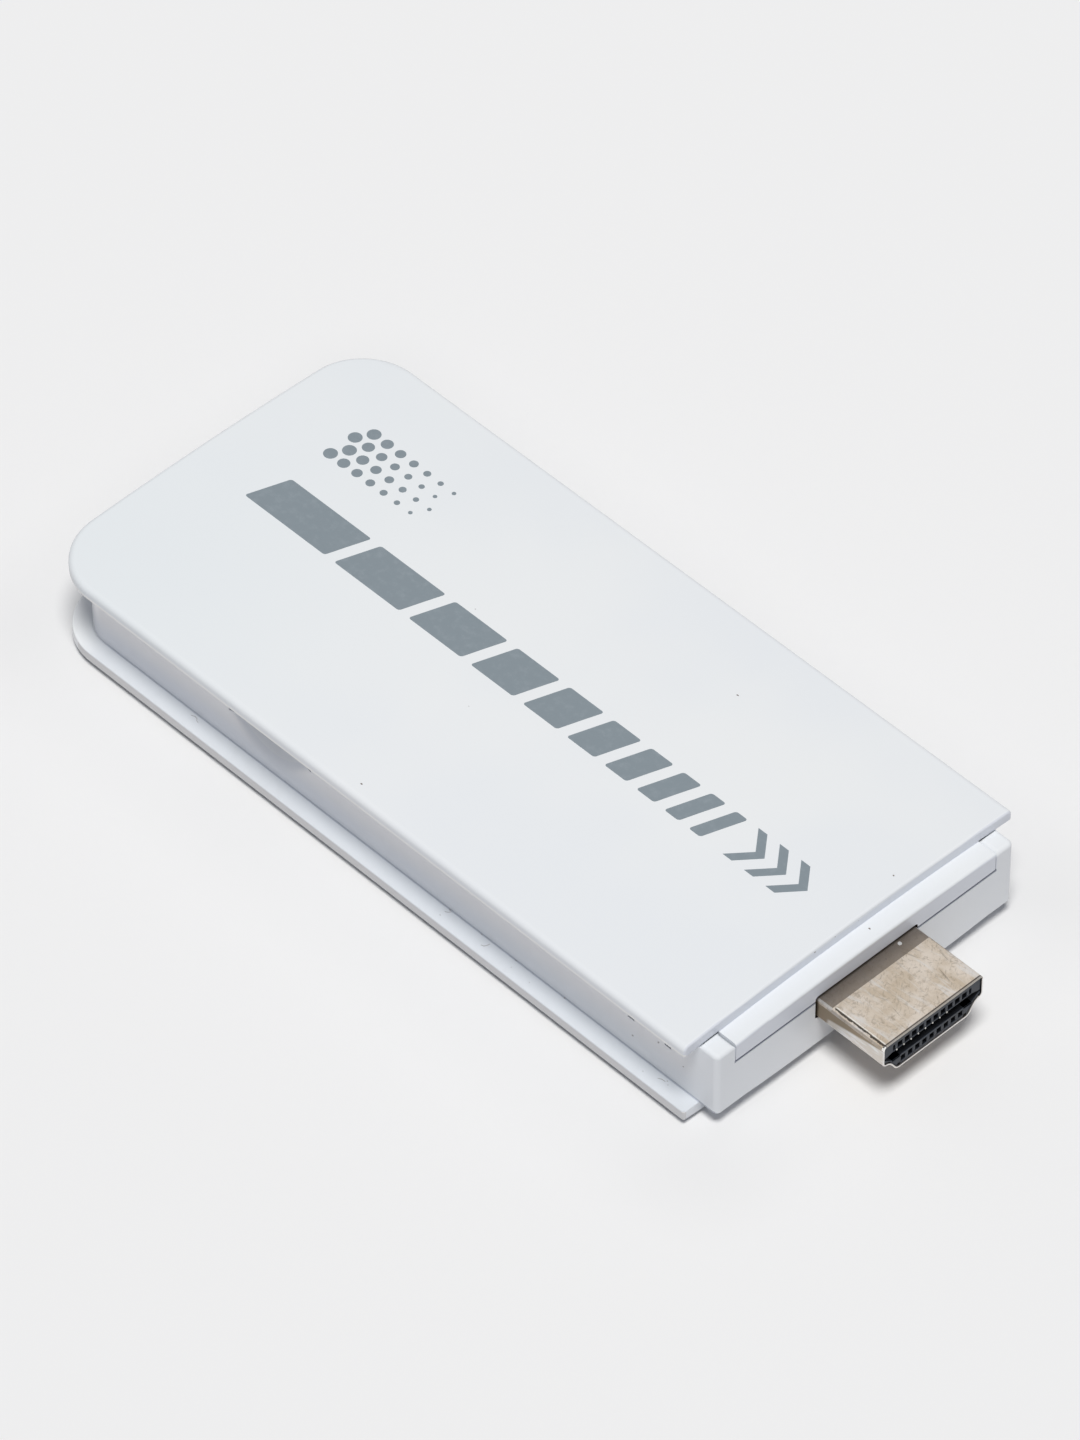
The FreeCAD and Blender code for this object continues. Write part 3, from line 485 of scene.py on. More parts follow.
plugLook = {
    "width": 13.9,
    "sideHeight": 2.75,
    "shoulder": 0.95,
    "shoulderDrop": 0.25,
    "bottomWidth": 10.1,
    "sheet": 0.17,
    "corner": 0.4,
    "rim": 0.05,
    "tabs": [((36.55, side - 0.6, 6.2), (38.55, side + 0.6, 6.5)) for side in (-7.4, 7.4)],
    "root": 43.55,
    "pale": shade(228, 216, 202),
    "tone": shade(206, 190, 169),
    # real stains, and painted shade on the side behind the floor's reflection
    "stainAndShade": shade(152, 137, 117),
    # pale streaks, and painted reflection on the side and along the rim's top
    "streakAndReflection": shade(228, 226, 224),
    # painted highlight: along the sill, on the glints, on a spot and beside the seam
    "bright": shade(255, 253, 248),
    # painted reflection of the pale floor on the plug's side
    "side": shade(212, 205, 196),
    # painted reflection: the casing's front on the ring, darker surroundings on the shoulder
    "darkReflection": shade(130, 120, 110),
    # painted reflection on the mouth's rim, below its top
    "rimTone": shade(160, 156, 150),
    # dark marks, scratches and lines, and painted shade inside the shell
    "sootAndShade": shade(60, 54, 50),
    "seam": -6.6,  # y of the fold's dark line
    "spot": (44.05, 4.05, 0.055),  # x, y and squared radius of a bright spot, a painted highlight
    "zones": {
        # painted reflection of the casing's front, a darker ring beside it
        "ring": ("darkReflection", 0.85, {"reach": (-1.0, ringEnd), "drop": (-far, topDrop)}, {}),
        # painted reflection, darker, on the rounded shoulder
        "shoulder": ("darkReflection", 0.4,
                     {"off": (plugSide, far), "drop": (topDrop, 0.66), "reach": (ringEnd - 0.6, far)}, {}),
        # painted highlight along the side's lower edge
        "sillHighlight": ("bright", 1.0, {"off": (plugSide, far), "drop": (2.56, 2.8)}, {}),
        "ringGlint": ("bright", 0.45,
                      {"reach": (-1.0, ringEnd), "off": (6.72, far), "drop": (-far, 0.3)}, {}),
        "cornerGlint": ("bright", 1.0,
                        {"x": (52.45, far), "y": (-far, nearCorner), "drop": (-far, 0.45)}, {}),
        "hem": ("sootAndShade", 0.85,
                {"x": (plugMouth - 0.3, plugMouth - 0.13), "drop": (-far, topDrop)}, {}),
        # painted shade on the shell's inner faces
        "insideShade": ("sootAndShade", 0.9,
                   {"x": (-far, plugMouth - 0.02), "off": (-far, 6.8), "drop": (0.14, 2.7)}, {}),
    },
}


def stainedTop(finish, mottle, brushed):  # the plate's stains, streaks and scratches
    look = plugLook
    cloud = finish.noise(260.0, 5.0, 0.62, warp=0.4)
    tone = finish.blend(cloud.span(0.36, 0.64), look["pale"], look["tone"])
    fine = finish.strokes((900, 4800, 1500), 0.9, 3.0, 0.7)
    pale = finish.strokes((120, 760, 300), -0.1, 5.0, 0.7, 0.3)
    scratch = finish.strokes((140, 3300, 500), 0.2, 2.0, 0.5).span(0.68, 0.74)
    scratch = scratch + finish.strokes((170, 2500, 500), -0.35, 2.0, 0.5).span(0.69, 0.75)
    layers = [(mottle.span(0.5, 0.66) * 0.55, "stainAndShade"), (fine.span(0.56, 0.7) * 0.45, "stainAndShade"),
              (brushed.span(0.56, 0.76) * 0.45, "streakAndReflection"), (pale.span(0.5, 0.64) * 0.6, "streakAndReflection"),
              (scratch * 0.4, "sootAndShade"), (finish.specks(1700.0, 0.12, 0.05) * 0.6, "sootAndShade")]
    for mask, tint in layers:
        tone = finish.blend(mask, tone, look[tint])
    return tone


def nickelPlate():
    look = plugLook
    finish = Finish("stained_nickel", Metallic=1.0)
    x, y, z = finish.axes()
    off = y.unsigned()
    reach = x - look["root"]
    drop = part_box("hdmi_shell")[1].z / mm - z
    top = drop < topDrop
    ways = {"x": x, "y": y, "off": off, "reach": reach, "drop": drop}
    mottle = finish.noise(1500.0, 6.0, 0.78, warp=0.8)
    brushed = finish.strokes((160, 5200, 1500), 0.05, 3.0, 0.6)
    tone = paint(finish, stainedTop(finish, mottle, brushed), look, ways, "ring")

    jag = finish.noise(1700.0, 4.0, 0.75) - 0.5
    seam = y - look["seam"] + jag * 0.2
    clear = top * (reach > ringEnd + 0.2)
    seamMask = (seam.unsigned() < 0.1 + jag * 0.3) * clear
    beside = ((seam - 0.2).unsigned() < 0.06 + jag * 0.3) * clear
    tone = finish.blend(seamMask * 0.9, tone, look["sootAndShade"])
    # a painted highlight beside the seam
    tone = finish.blend(beside * 0.6, tone, look["bright"])
    tone = paint(finish, tone, look, ways, "shoulder")

    # the side: painted reflection of the pale floor in the wedge, painted shade in the stain colour
    # elsewhere
    side = (off > plugSide) * (drop > 0.5)
    wedge = (drop + reach * 0.17 - 2.05).span(-0.15, 0.15)  # painted reflection: what the side shows of the pale floor
    wedge = wedge * (reach - 1.9 + drop * 0.3).span(0.0, 0.5)
    sheen = finish.blend(brushed.span(0.45, 0.6) + (drop > 2.5), look["side"], look["streakAndReflection"])
    tone = finish.blend(side, tone, finish.blend(wedge, look["stainAndShade"], sheen))
    tone = paint(finish, tone, look, ways, "sillHighlight", "ringGlint", "cornerGlint")

    # a bright spot on the top, a painted highlight
    spotX, spotY, spotSize = look["spot"]
    spot = ((x - spotX) ** 2.0 + (y - spotY) ** 2.0 + jag * 0.3) < spotSize
    tone = finish.blend(spot * top, tone, look["bright"])
    tone = paint(finish, tone, look, ways, "hem")
    # the mouth's rim: painted reflection, pale along its top, grey below
    rim = (x > plugMouth - 0.12) * (drop > 0.45).larger(y > nearCorner)
    rimTone = finish.blend(drop < 0.4, look["streakAndReflection"], look["rimTone"])
    tone = finish.blend(rim * 0.8, tone, rimTone)
    tone = paint(finish, tone, look, ways, "insideShade")

    rough = 0.27 + mottle * 0.16 + brushed * 0.08 - rim * 0.1
    dents = finish.bump(brushed, 0.35, 0.01 * mm)
    dents = finish.bump(mottle, 0.3, 0.012 * mm, dents)
    dents = finish.bump(seamMask, 0.8, -0.04 * mm, dents)
    return finish.set(Base_Color=tone, Roughness=rough, Normal=dents)


def makePlugShell(metal):
    look = plugLook
    low, high = [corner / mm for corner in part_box("hdmi_shell")]
    half = look["width"] / 2
    side = high.z - look["sideHeight"]
    right = [(half, high.z), (half, side), (half - look["shoulder"], side - look["shoulderDrop"]),
             (look["bottomWidth"] / 2, low.z)]
    outline = [(low.x, y, z) for y, z in mirrored(right)]
    makeShell("plug_shell", outline, (plugMouth - low.x, 0, 0), look, metal, "hdmi_shell")


makePlugShell(nickelPlate())
print("plug shell finished")

# Black mouldings and gold contacts

insulatorLook = {
    "tone": shade(35, 40, 49),
    "sheen": shade(54, 61, 71),
    "deepShade": shade(21, 23, 27),
    "deepSpan": (36.0, 52.54),  # painted shade behind the plug's face, along x
    # y and z of the right half of the core's outline and of the face's upper part, then its lower right part
    "outline": [(6.74, 8.1), (6.74, 5.76), (5.95, 5.52), (4.9, 4.08)],
    "upper": [(6.74, 8.1), (6.74, 6.3), (6.4, 6.35), (5.7, 6.56), (5.45, 6.6), (5.45, 7.5)],
    "lower": [(6.74, 6.1), (6.74, 5.76), (5.95, 5.52), (4.9, 4.08), (4.4, 4.08), (4.4, 5.4), (5.6, 5.4),
              (6.4, 6.0)],
    "face": 52.6,
    "depth": 1.1,
    "overlap": 0.2,
    "corner": 0.05,
    "fineCorner": 0.03,
    "pitch": 1.0,
    "teeth": 11,
    "tooth": (0.17, 6.66, 7.55),  # half width, low and high
    "sills": [(4.08, 4.4, 4.84), (5.14, 5.4, 5.6), (6.6, 6.74, 5.5)],  # low, high and half width
    "posts": 10,
    "post": (0.2, 4.35, 5.2),
    "postInset": 0.02,
    "contactFace": 51.2,
    "tip": (0.12, 0.11, 0.13),
    "tips": 8,
}

goldLook = {
    "tone": shade(232, 200, 128),
    "worn": shade(206, 190, 158),
}

canLook = {
    "tone": shade(205, 203, 198),
    "worn": shade(184, 181, 174),
}


def blackMoulding():
    look = insulatorLook
    finish = Finish("black_moulding", IOR=1.5)
    patch = finish.noise(420.0, 4.0, 0.6).span(0.35, 0.7)
    grain = finish.noise(6000.0, 2.0)
    tone = finish.blend(patch * 0.5, look["tone"], look["sheen"])
    # painted shade on the faces behind the plug's face
    tone = finish.blend(finish.axes()[0].within(*look["deepSpan"]), tone, look["deepShade"])
    height = finish.bump(grain, 0.15, 0.01 * mm)
    return finish.set(Base_Color=tone, Roughness=0.42 + patch * 0.14, Normal=height)


def goldFlash():
    finish = Finish("gold_flash", Metallic=1.0)
    patch = finish.noise(1300.0, 4.0, 0.65).span(0.4, 0.7)
    tone = finish.blend(patch, goldLook["tone"], goldLook["worn"])
    height = finish.bump(finish.strokes((300, 7000, 7000), 0.0, 2.0, 0.5), 0.2, 0.006 * mm)
    return finish.set(Base_Color=tone, Roughness=0.2 + patch * 0.15, Normal=height)


def canMetal():
    finish = Finish("bright_nickel", Metallic=1.0)
    patch = finish.noise(350.0, 4.0, 0.6).span(0.35, 0.7)
    drag = finish.strokes((260, 4600, 4600), 0.0, 3.0, 0.6)
    tone = finish.blend(patch, canLook["tone"], canLook["worn"])
    rough = 0.2 + patch * 0.12 + drag * 0.06
    return finish.set(Base_Color=tone, Roughness=rough, Normal=finish.bump(drag, 0.2, 0.008 * mm))


def flatPiece(bm, points, back, front, corner):  # an outline in y and z drawn from one x to another
    ring = [bm.verts.new((back * mm, y * mm, z * mm)) for y, z in points]
    face = bm.faces.new(ring)
    grown = bmesh.ops.extrude_face_region(bm, geom=[face], use_keep_orig=True)["geom"]
    ends = only(grown, bmesh.types.BMVert)
    bmesh.ops.translate(bm, verts=ends, vec=((front - back) * mm, 0, 0))
    soften(bm, {edge for vert in ring + ends for edge in vert.link_edges}, "EDGES", corner * mm, 2)


def makeInsulator(material):  # a solid core behind a face with a slot between two rows of windows
    look = insulatorLook
    front, back = look["face"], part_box("hdmi_insulator")[0].x / mm
    inner = front - look["depth"]
    behind = inner - look["overlap"]
    thin = look["fineCorner"]
    bm = bmesh.new()
    flatPiece(bm, mirrored(look["outline"]), back, inner, look["corner"])
    flatPiece(bm, mirrored(look["upper"]), behind, front, look["corner"])
    for side in (1, -1):
        flatPiece(bm, [(side * y, z) for y, z in look["lower"]], behind, front, thin)
    for low, high, half in look["sills"]:
        flatPiece(bm, [(-half, low), (half, low), (half, high), (-half, high)], behind, front, thin)
    for count, (half, low, high) in ((look["teeth"], look["tooth"]), (look["posts"], look["post"])):
        for index in range(count):
            y = (index - (count - 1) / 2) * look["pitch"]
            post = [(y - half, low), (y + half, low), (y + half, high), (y - half, high)]
            flatPiece(bm, post, behind, front - look["postInset"], thin)
    bmesh.ops.recalc_face_normals(bm, faces=bm.faces)
    piece = settle(bm, "plug_insulator_face", material)
    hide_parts("hdmi_insulator")


def makeContactSprings(node, name, metal):  # the node's strips, with their front ends further back
    bm = nodeShape(node)
    for vert in bm.verts:
        vert.co.x = min(vert.co.x, insulatorLook["contactFace"] * mm)
    piece = settle(bm, name, metal)
    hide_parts(node)


def makeContactTips(metal):  # the glints at the lower ends of the teeth
    look = insulatorLook
    bm = bmesh.new()
    for index in range(look["tips"]):
        made = bmesh.ops.create_uvsphere(bm, u_segments=12, v_segments=8, radius=mm)["verts"]
        bmesh.ops.scale(bm, verts=made, vec=look["tip"])
        y = (index - (look["teeth"] - 1) / 2) * look["pitch"]
        bmesh.ops.translate(bm, verts=made, vec=Vector((look["face"], y, look["tooth"][1])) * mm)
    settle(bm, "plug_contact_noses", metal, sharp=60.0)


moulding = blackMoulding()
gold = goldFlash()
canFinish = canMetal()
dress(moulding, "usb_tongue", "micro_usb_tongue", "card_socket_base")
dress(gold, "usb_contacts", "micro_usb_contacts", "card_contacts")
makeInsulator(moulding)
makeContactSprings("hdmi_upper_contacts", "plug_upper_springs", gold)
makeContactSprings("hdmi_lower_contacts", "plug_lower_springs", gold)
makeContactTips(canFinish)
print("mouldings and contacts finished")

# Receptacles

usbLook = {
    "sheet": 0.3,
    "corner": 0.6,
    "rim": 0.1,
    "tabs": [((x, side - 0.75, 6.2), (x + 2.4, side + 0.75, 6.5)) for side in (-7.22, 7.22)
             for x in (-45.5, -39.1)],
    "width": 13.14,
    "leafSides": (-3.3, 3.3),
    "leafStart": 1.0,  # from the shell's mouth
    "leafLength": 5.2,
    "leafWidth": 1.7,
    "leafTaper": 0.25,
    "leafBow": 0.34,
    "upperBow": 0.6,  # share of the lower leaves' bow
    "leafSunk": 0.02,
    "leafSheet": 0.12,
}

microLook = {
    "sheet": 0.25,
    "corner": 0.3,
    "rim": 0.08,
    "width": 7.5,
    "footWidth": 5.6,
    "waist": 0.45,  # share of the height where the sides begin to slope
}


def makeUsbShell(metal):
    low, high = [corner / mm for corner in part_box("usb_shell")]
    half = usbLook["width"] / 2
    corners = [(-half, low.z), (half, low.z), (half, high.z), (-half, high.z)]
    makeShell("usb_receptacle_shell", [(high.x, y, z) for y, z in corners],
              (low.x - high.x, 0, 0), usbLook, metal, "usb_shell", True)


def makeUsbLeaves(metal):  # spring leaves cut in the shell, bowed into its mouth
    look = usbLook
    low, high = [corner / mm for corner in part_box("usb_shell")]
    bm = bmesh.new()
    for y in look["leafSides"]:
        for z, side in ((low.z + look["sheet"], 1), (high.z - look["sheet"], -1)):
            made = bmesh.ops.create_grid(bm, x_segments=10, y_segments=2, size=0.5)["verts"]
            bow = look["leafBow"] if side > 0 else look["leafBow"] * look["upperBow"]
            for vert in made:
                along = vert.co.x + 0.5
                rise = bow * math.sin(math.pi * along) ** 2 - look["leafSunk"]
                vert.co.x = low.x + look["leafStart"] + along * look["leafLength"]
                vert.co.y = y + vert.co.y * look["leafWidth"] * (1.0 - look["leafTaper"] * along)
                vert.co.z = z + side * rise
    bmesh.ops.scale(bm, verts=bm.verts, vec=(mm, mm, mm))
    bmesh.ops.recalc_face_normals(bm, faces=bm.faces)
    bmesh.ops.solidify(bm, geom=bm.faces, thickness=look["leafSheet"] * mm)
    settle(bm, "usb_spring_leaves", metal)


def makeMicroShell(metal):
    low, high = [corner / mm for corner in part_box("micro_usb_shell")]
    middle = (low.x + high.x) / 2
    half, foot = microLook["width"] / 2, microLook["footWidth"] / 2
    waist = low.z + (high.z - low.z) * microLook["waist"]
    outline = mirrored([(half, high.z), (half, waist), (foot, low.z)])
    makeShell("micro_receptacle_shell", [(middle + along, low.y, z) for along, z in outline],
              (0, high.y - low.y, 0), microLook, metal, "micro_usb_shell", True)


makeUsbShell(canFinish)
makeUsbLeaves(canFinish)
makeMicroShell(canFinish)
dress(canFinish, "crystal_can", "card_socket_cover")
print("receptacles finished")

# Memory card

cardLook = {
    "black": shade(38, 39, 42),
    "label": shade(96, 103, 112),
    "panel": [(-25.1, -16.2), (-17.4, -8.2), (7.3, far)],  # x, y and z limits of the label
    "padCount": 8,
    "padPitch": 1.1,
    "padShift": -0.3,
    "padInset": 0.7,  # from the card's end
    "padFaces": (-0.02, 0.05),  # under and over the card's own face
    "padCorner": 0.02,
    "pad": (0.78, 3.0),
}


def cardPlastic():
    look = cardLook
    finish = Finish("card_plastic", IOR=1.5)
    panel = math.prod(way.within(*ends) for way, ends in zip(finish.axes(), look["panel"]))
    grain = finish.noise(5200.0, 3.0)
    fade = finish.noise(300.0, 3.0).span(0.3, 0.7)
    tone = finish.blend(panel * (0.8 + fade * 0.2), look["black"], look["label"])
    height = finish.bump(grain, 0.3, 0.012 * mm)
    return finish.set(Base_Color=tone, Roughness=0.5 + grain * 0.12, Normal=height)


def makeCardPads(metal):
    look = cardLook
    low, high = [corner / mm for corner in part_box("memory_card")]
    width, length = look["pad"]
    end = high.y - look["padInset"]
    under, over = [low.z + face for face in look["padFaces"]]
    bm = bmesh.new()
    for index in range(look["padCount"]):
        step = (index - (look["padCount"] - 1) / 2) * look["padPitch"]
        x = (low.x + high.x) / 2 + step + look["padShift"]
        addBlock(bm, (x - width / 2, end - length, under), (x + width / 2, end, over), look["padCorner"])
    settle(bm, "card_pads", metal, "card")


smoothCopy("memory_card", "memory_card_body", cardPlastic(), "card")
makeCardPads(gold)
print("memory card finished")

# Board and what is on it

boardLook = {
    "mask": shade(26, 92, 62),
    "track": shade(12, 62, 42),
    "via": shade(190, 176, 140),
    "metals": {  # tone, worn tone, stretch of the drawn lines, roughness and node
        "zinc_screws": (shade(196, 197, 200), shade(170, 172, 178), (900, 900, 5000), 0.25,
                        "board_screws"),
        "bare_aluminium": (shade(214, 215, 218), shade(196, 198, 202), (200, 5200, 5200), 0.3,
                           "heat_spreader"),
    },
    "bodies": {  # tone, worn tone, scale of the wear, roughness, bump and nodes
        "chip_epoxy": (shade(44, 44, 46), shade(54, 54, 57), 500.0, 0.5, 0.35,
                       ["main_processor", "memory_chips", "flash_chip", "regulators", "resistors"]),
        "silicone_pad": (shade(122, 160, 196), shade(104, 142, 182), 420.0, 0.6, 0.5, ["thermal_pad"]),
        "ground_ferrite": (shade(74, 75, 79), shade(58, 59, 63), 700.0, 0.55, 0.6, ["power_inductors"]),
        "fired_ceramic": (shade(176, 148, 112), shade(158, 128, 94), 900.0, 0.4, 0.3, ["capacitors"]),
        "slider_plastic": (shade(52, 53, 56), shade(44, 45, 48), 600.0, 0.42, 0.25, ["card_ejector"]),
    },
}


def boardLaminate():
    finish = Finish("board_laminate", IOR=1.5)
    weave = finish.node("TexWave", {"wave_type": "BANDS", "bands_direction": "DIAGONAL"},
                        {"Vector": finish.place, "Scale": 900.0, "Distortion": 2.0})
    tracks = finish.cells(330.0, "DISTANCE_TO_EDGE", scatter=0.0).span(0.08, 0.14)
    vias = finish.cells(400.0, scatter=0.15) < 0.11
    tone = finish.blend(tracks, boardLook["mask"], boardLook["track"])
    tone = finish.blend(vias, tone, boardLook["via"])
    height = finish.bump(tracks, 0.4, 0.02 * mm, finish.bump(weave, 0.1, 0.01 * mm))
    return finish.set(Base_Color=tone, Roughness=0.32 + weave * 0.06, Normal=height)


def wornBody(name, tone, worn, scale, rough, bump):  # two tones, worn in patches
    finish = Finish(name)
    patch = finish.noise(scale, 4.0, 0.6).span(0.35, 0.68)
    grain = finish.noise(scale * 9, 3.0, 0.6)
    return finish.set(Base_Color=finish.blend(patch, tone, worn),
                      Roughness=rough + patch * 0.1 + grain * 0.05,
                      Normal=finish.bump(grain, bump, 0.012 * mm))


def drawnMetal(name, tone, worn, stretch, rough):  # fine lines along the drawing or extrusion
    finish = Finish(name, Metallic=1.0)
    drag = finish.strokes(stretch, 0.0, 3.0, 0.6)
    patch = finish.noise(300.0, 3.0).span(0.35, 0.7)
    return finish.set(Base_Color=finish.blend(patch, tone, worn),
                      Roughness=rough + drag * 0.15,
                      Normal=finish.bump(drag, 0.35, 0.01 * mm))


dress(boardLaminate(), "circuit_board")
for metal, (*values, node) in boardLook["metals"].items():
    dress(drawnMetal(metal, *values), node)
for body, (*values, nodes) in boardLook["bodies"].items():
    dress(wornBody(body, *values), *nodes)
print("board finished")

# Ejector spring

springLook = {
    "tone": shade(178, 178, 180),
    "worn": shade(150, 150, 154),
    "stretch": (4200, 600, 4200),
    "roughness": 0.25,
}


def makeSpring():  # its coils stretch from the casing to the ejector
    look = springLook
    wire = drawnMetal("spring_wire", look["tone"], look["worn"], look["stretch"], look["roughness"])
    coil = smoothCopy("ejector_spring", "ejector_coil", wire, None)
    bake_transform(coil)


makeSpring()
print("spring finished")

# Dust and lint

lintLook = {
    "tone": shade(96, 88, 84),
    "pale": shade(140, 130, 124),
    "flecks": [  # x, y, z, size, and the side that the fleck lies on
        (11.3, 14.0, 0.0, 0.12, "top"), (39.6, 7.6, 0.0, 0.09, "top"), (-6.3, -21.3, 0.0, 0.11, "top"),
        (34.5, -21.9, 2.0, 0.05, "up"), (37.1, -21.1, 2.0, 0.055, "up"), (37.5, -21.4, 2.0, 0.05, "up"),
        (42.1, 1.75, 10.7, 0.11, "up"), (44.6, 1.6, 8.325, 0.09, "up"),
        (31.8, -20.7, 4.16, 0.11, "wall"), (35.4, -20.7, 6.06, 0.1, "wall"),
        (38.9, -20.7, 5.3, 0.08, "wall"),
        (41.15, -4.9, 11.6, 0.1, "end"), (41.15, -2.1, 11.7, 0.06, "end"), (41.15, 1.2, 11.5, 0.05, "end"),
        (10.4, -20.78, 2.0, 0.07, "up"), (15.3, -20.75, 2.0, 0.07, "up"), (22.2, -20.75, 2.0, 0.08, "up"),
        (5.8, -20.78, 2.0, 0.08, "up"), (5.6, -21.96, 2.0, 0.05, "up"), (15.6, -21.7, 2.0, 0.04, "up"),
        (18.3, -21.8, 2.0, 0.04, "up"),
    ],
    "lumps": (0.6, 1.2),
    "flat": {  # how far a fleck is squashed along x, y and z
        "top": (1.3, 0.8, 0.25), "up": (1.3, 0.8, 0.25),
        "wall": (1.3, 0.25, 0.8), "end": (0.2, 1.2, 0.8),
    },
    "hairs": [
        [(-32.0, -21.25), (-31.6, -21.1), (-31.25, -21.15), (-31.0, -21.4), (-30.75, -21.45)],
        [(36.2, -21.5), (36.6, -21.3), (37.0, -21.3)],
        [(11.36, -21.81), (11.69, -21.71), (11.82, -21.43), (11.9, -21.1)],
        [(5.6, -21.3), (5.9, -21.15), (6.1, -20.85)],
    ],
    "hairWidth": 0.035,
    "hairHeight": 2.0,  # the lower plate's top
}


def lintFluff():
    finish = Finish("lint_fluff", Roughness=0.9)
    patch = finish.noise(4000.0, 2.0)
    return finish.set(Base_Color=finish.blend(patch, lintLook["tone"], lintLook["pale"]))


def makeFlecks(material):
    random.seed(7)
    bm = bmesh.new()
    for x, y, z, size, side in lintLook["flecks"]:
        made = bmesh.ops.create_icosphere(bm, subdivisions=2, radius=size * mm)["verts"]
        for vert in made:
            vert.co *= random.uniform(*lintLook["lumps"])
        bmesh.ops.scale(bm, verts=made, vec=lintLook["flat"][side])
        height = coverTop(y) if side == "top" else z
        bmesh.ops.translate(bm, verts=made, vec=Vector((x, y, height)) * mm)
    settle(bm, "dust_flecks", material, sharp=70.0)


def makeHairs(material):  # fibres that lie on the lower plate
    half = lintLook["hairWidth"] / 2
    height = lintLook["hairHeight"] + half
    bm = bmesh.new()
    for points in lintLook["hairs"]:
        for (x0, y0), (x1, y1) in zip(points, points[1:]):
            length = math.hypot(x1 - x0, y1 - y0) + half
            made = bmesh.ops.create_cone(bm, cap_ends=True, segments=6, radius1=half, radius2=half,
                                         depth=length)["verts"]
            turn = Vector((x1 - x0, y1 - y0, 0)).to_track_quat("Z", "Y").to_matrix()
            bmesh.ops.rotate(bm, verts=made, matrix=turn)
            bmesh.ops.translate(bm, verts=made, vec=((x0 + x1) / 2, (y0 + y1) / 2, height))
    bmesh.ops.scale(bm, verts=bm.verts, vec=(mm, mm, mm))
    settle(bm, "dust_hairs", material, sharp=70.0)


fluff = lintFluff()
makeFlecks(fluff)
makeHairs(fluff)
print("dust laid")

# Stage, light and camera

stageLook = {
    "floor": shade(240, 241, 243),
    "faded": shade(237, 238, 240),
    "near": shade(232, 233, 235),  # painted shade beside the object, against the light its sides throw on the floor
    "nearReach": (15.0, 0.9),  # how far, in millimetres, and how strongly
    "bounce": shade(215, 215, 218),  # the floor as the object's sides see it
    "outline": (-4.7, 48.2, 22.85),  # middle x, half length and half width of the object
    "floorSize": 6.0,
    "sky": (0.94, 0.97, 1.06, 1.0),
    "skyStrength": 0.2,
    "key": (1.03, 1.01, 0.97),
    "keyStrength": 2.56,  # of a soft lamp over the near corner
    "keyWidth": 21.0,
    "keyTilt": (12.5, 14.0, 0.0),
}

cameraLook = {
    "place": (454.05, -435.41, 671.59),
    "aim": (-7.705, 4.648, 0.7),
    "lens": 226.99,
    "sensor": 36.0,
    "roll": -0.34,  # degrees
    "clip": (0.01, 20.0),
}


def floorPaper():
    look = stageLook
    finish = Finish("floor_paper", Roughness=0.9, Specular_IOR_Level=0.0)
    rays = ("Is Camera Ray", "Is Glossy Ray")
    cameraRay, glossyRay = [finish.node("LightPath", out=ray) for ray in rays]
    tone = finish.blend(finish.noise(9.0, 2.0) * 0.02, look["floor"], look["faded"])
    middle, halfLength, halfWidth = look["outline"]
    x, y = finish.axes()[:2]
    distance = pastCorner((x - middle).unsigned() - halfLength, y.unsigned() - halfWidth)
    reach, strength = look["nearReach"]
    # painted shade on the floor near the object
    tone = finish.blend(distance.span(0.0, reach, strength, 0.0), tone, look["near"])
    return finish.set(Base_Color=finish.blend(cameraRay.larger(glossyRay), look["bounce"], tone))


def makeFloor():
    bm = bmesh.new()
    bmesh.ops.create_grid(bm, x_segments=2, y_segments=2, size=stageLook["floorSize"] / 2)
    floor = addObject(bm, "floor", floorPaper())


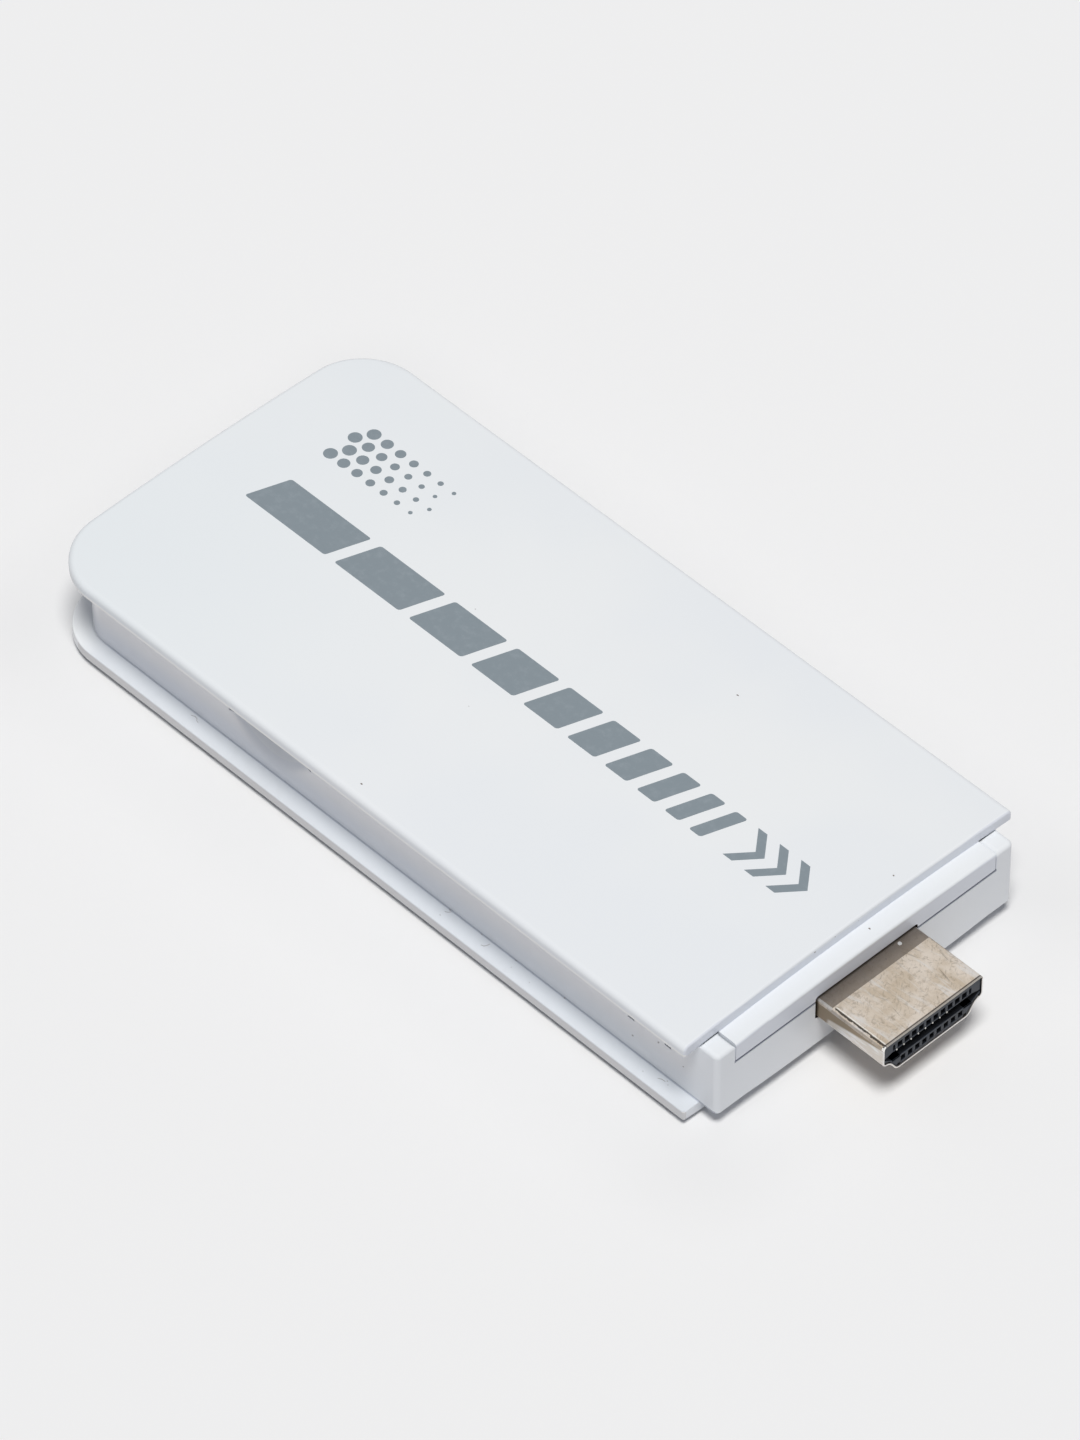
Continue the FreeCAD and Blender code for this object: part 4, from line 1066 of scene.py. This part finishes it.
def makeSky():  # dim for the light that falls on the object, bright where it is looked at
    world = bpy.data.worlds.new("studio")
    bpy.context.scene.world = world
    world.use_nodes = True
    tree = world.node_tree
    tree.nodes.clear()
    rays = tree.nodes.new("ShaderNodeLightPath")
    seen = rays.outputs["Is Camera Ray"]
    for label in ("Is Glossy Ray", "Is Transmission Ray"):
        either = tree.nodes.new("ShaderNodeMath")
        either.operation = "MAXIMUM"
        tree.links.new(seen, either.inputs[0])
        tree.links.new(rays.outputs[label], either.inputs[1])
        seen = either.outputs[0]
    mix = tree.nodes.new("ShaderNodeMixShader")
    tree.links.new(seen, mix.inputs[0])
    backdrops = [(stageLook["sky"], stageLook["skyStrength"]), (stageLook["floor"], 1.0)]
    for index, (tone, strength) in enumerate(backdrops, 1):
        backdrop = tree.nodes.new("ShaderNodeBackground")
        backdrop.inputs["Color"].default_value = tone
        backdrop.inputs["Strength"].default_value = strength
        tree.links.new(backdrop.outputs[0], mix.inputs[index])
    out = tree.nodes.new("ShaderNodeOutputWorld")
    tree.links.new(mix.outputs[0], out.inputs["Surface"])


def makeLamp():
    lamp = bpy.data.lights.new("overhead_lamp", "SUN")
    lamp.energy = stageLook["keyStrength"]
    lamp.color = stageLook["key"]
    lamp.angle = math.radians(stageLook["keyWidth"])
    key = bpy.data.objects.new("overhead_lamp", lamp)
    key.rotation_euler = [math.radians(angle) for angle in stageLook["keyTilt"]]
    key.visible_glossy = False  # a diffuser hides the lamp from shiny surfaces
    bpy.context.scene.collection.objects.link(key)


def makeCamera():
    data = bpy.data.cameras.new("camera")
    data.sensor_width = cameraLook["sensor"]
    data.lens = cameraLook["lens"]
    data.clip_start, data.clip_end = cameraLook["clip"]
    camera = bpy.data.objects.new("camera", data)
    camera.location = Vector(cameraLook["place"]) * mm
    ahead = Vector(cameraLook["aim"]) * mm - camera.location
    camera.rotation_euler = ahead.to_track_quat("-Z", "Y").to_euler()
    camera.rotation_euler.rotate_axis("Z", math.radians(cameraLook["roll"]))
    bpy.context.scene.collection.objects.link(camera)
    bpy.context.scene.camera = camera


makeFloor()
makeSky()
makeLamp()
makeCamera()
print("stage and camera set")

bpy.context.scene.view_settings.view_transform = "Standard"
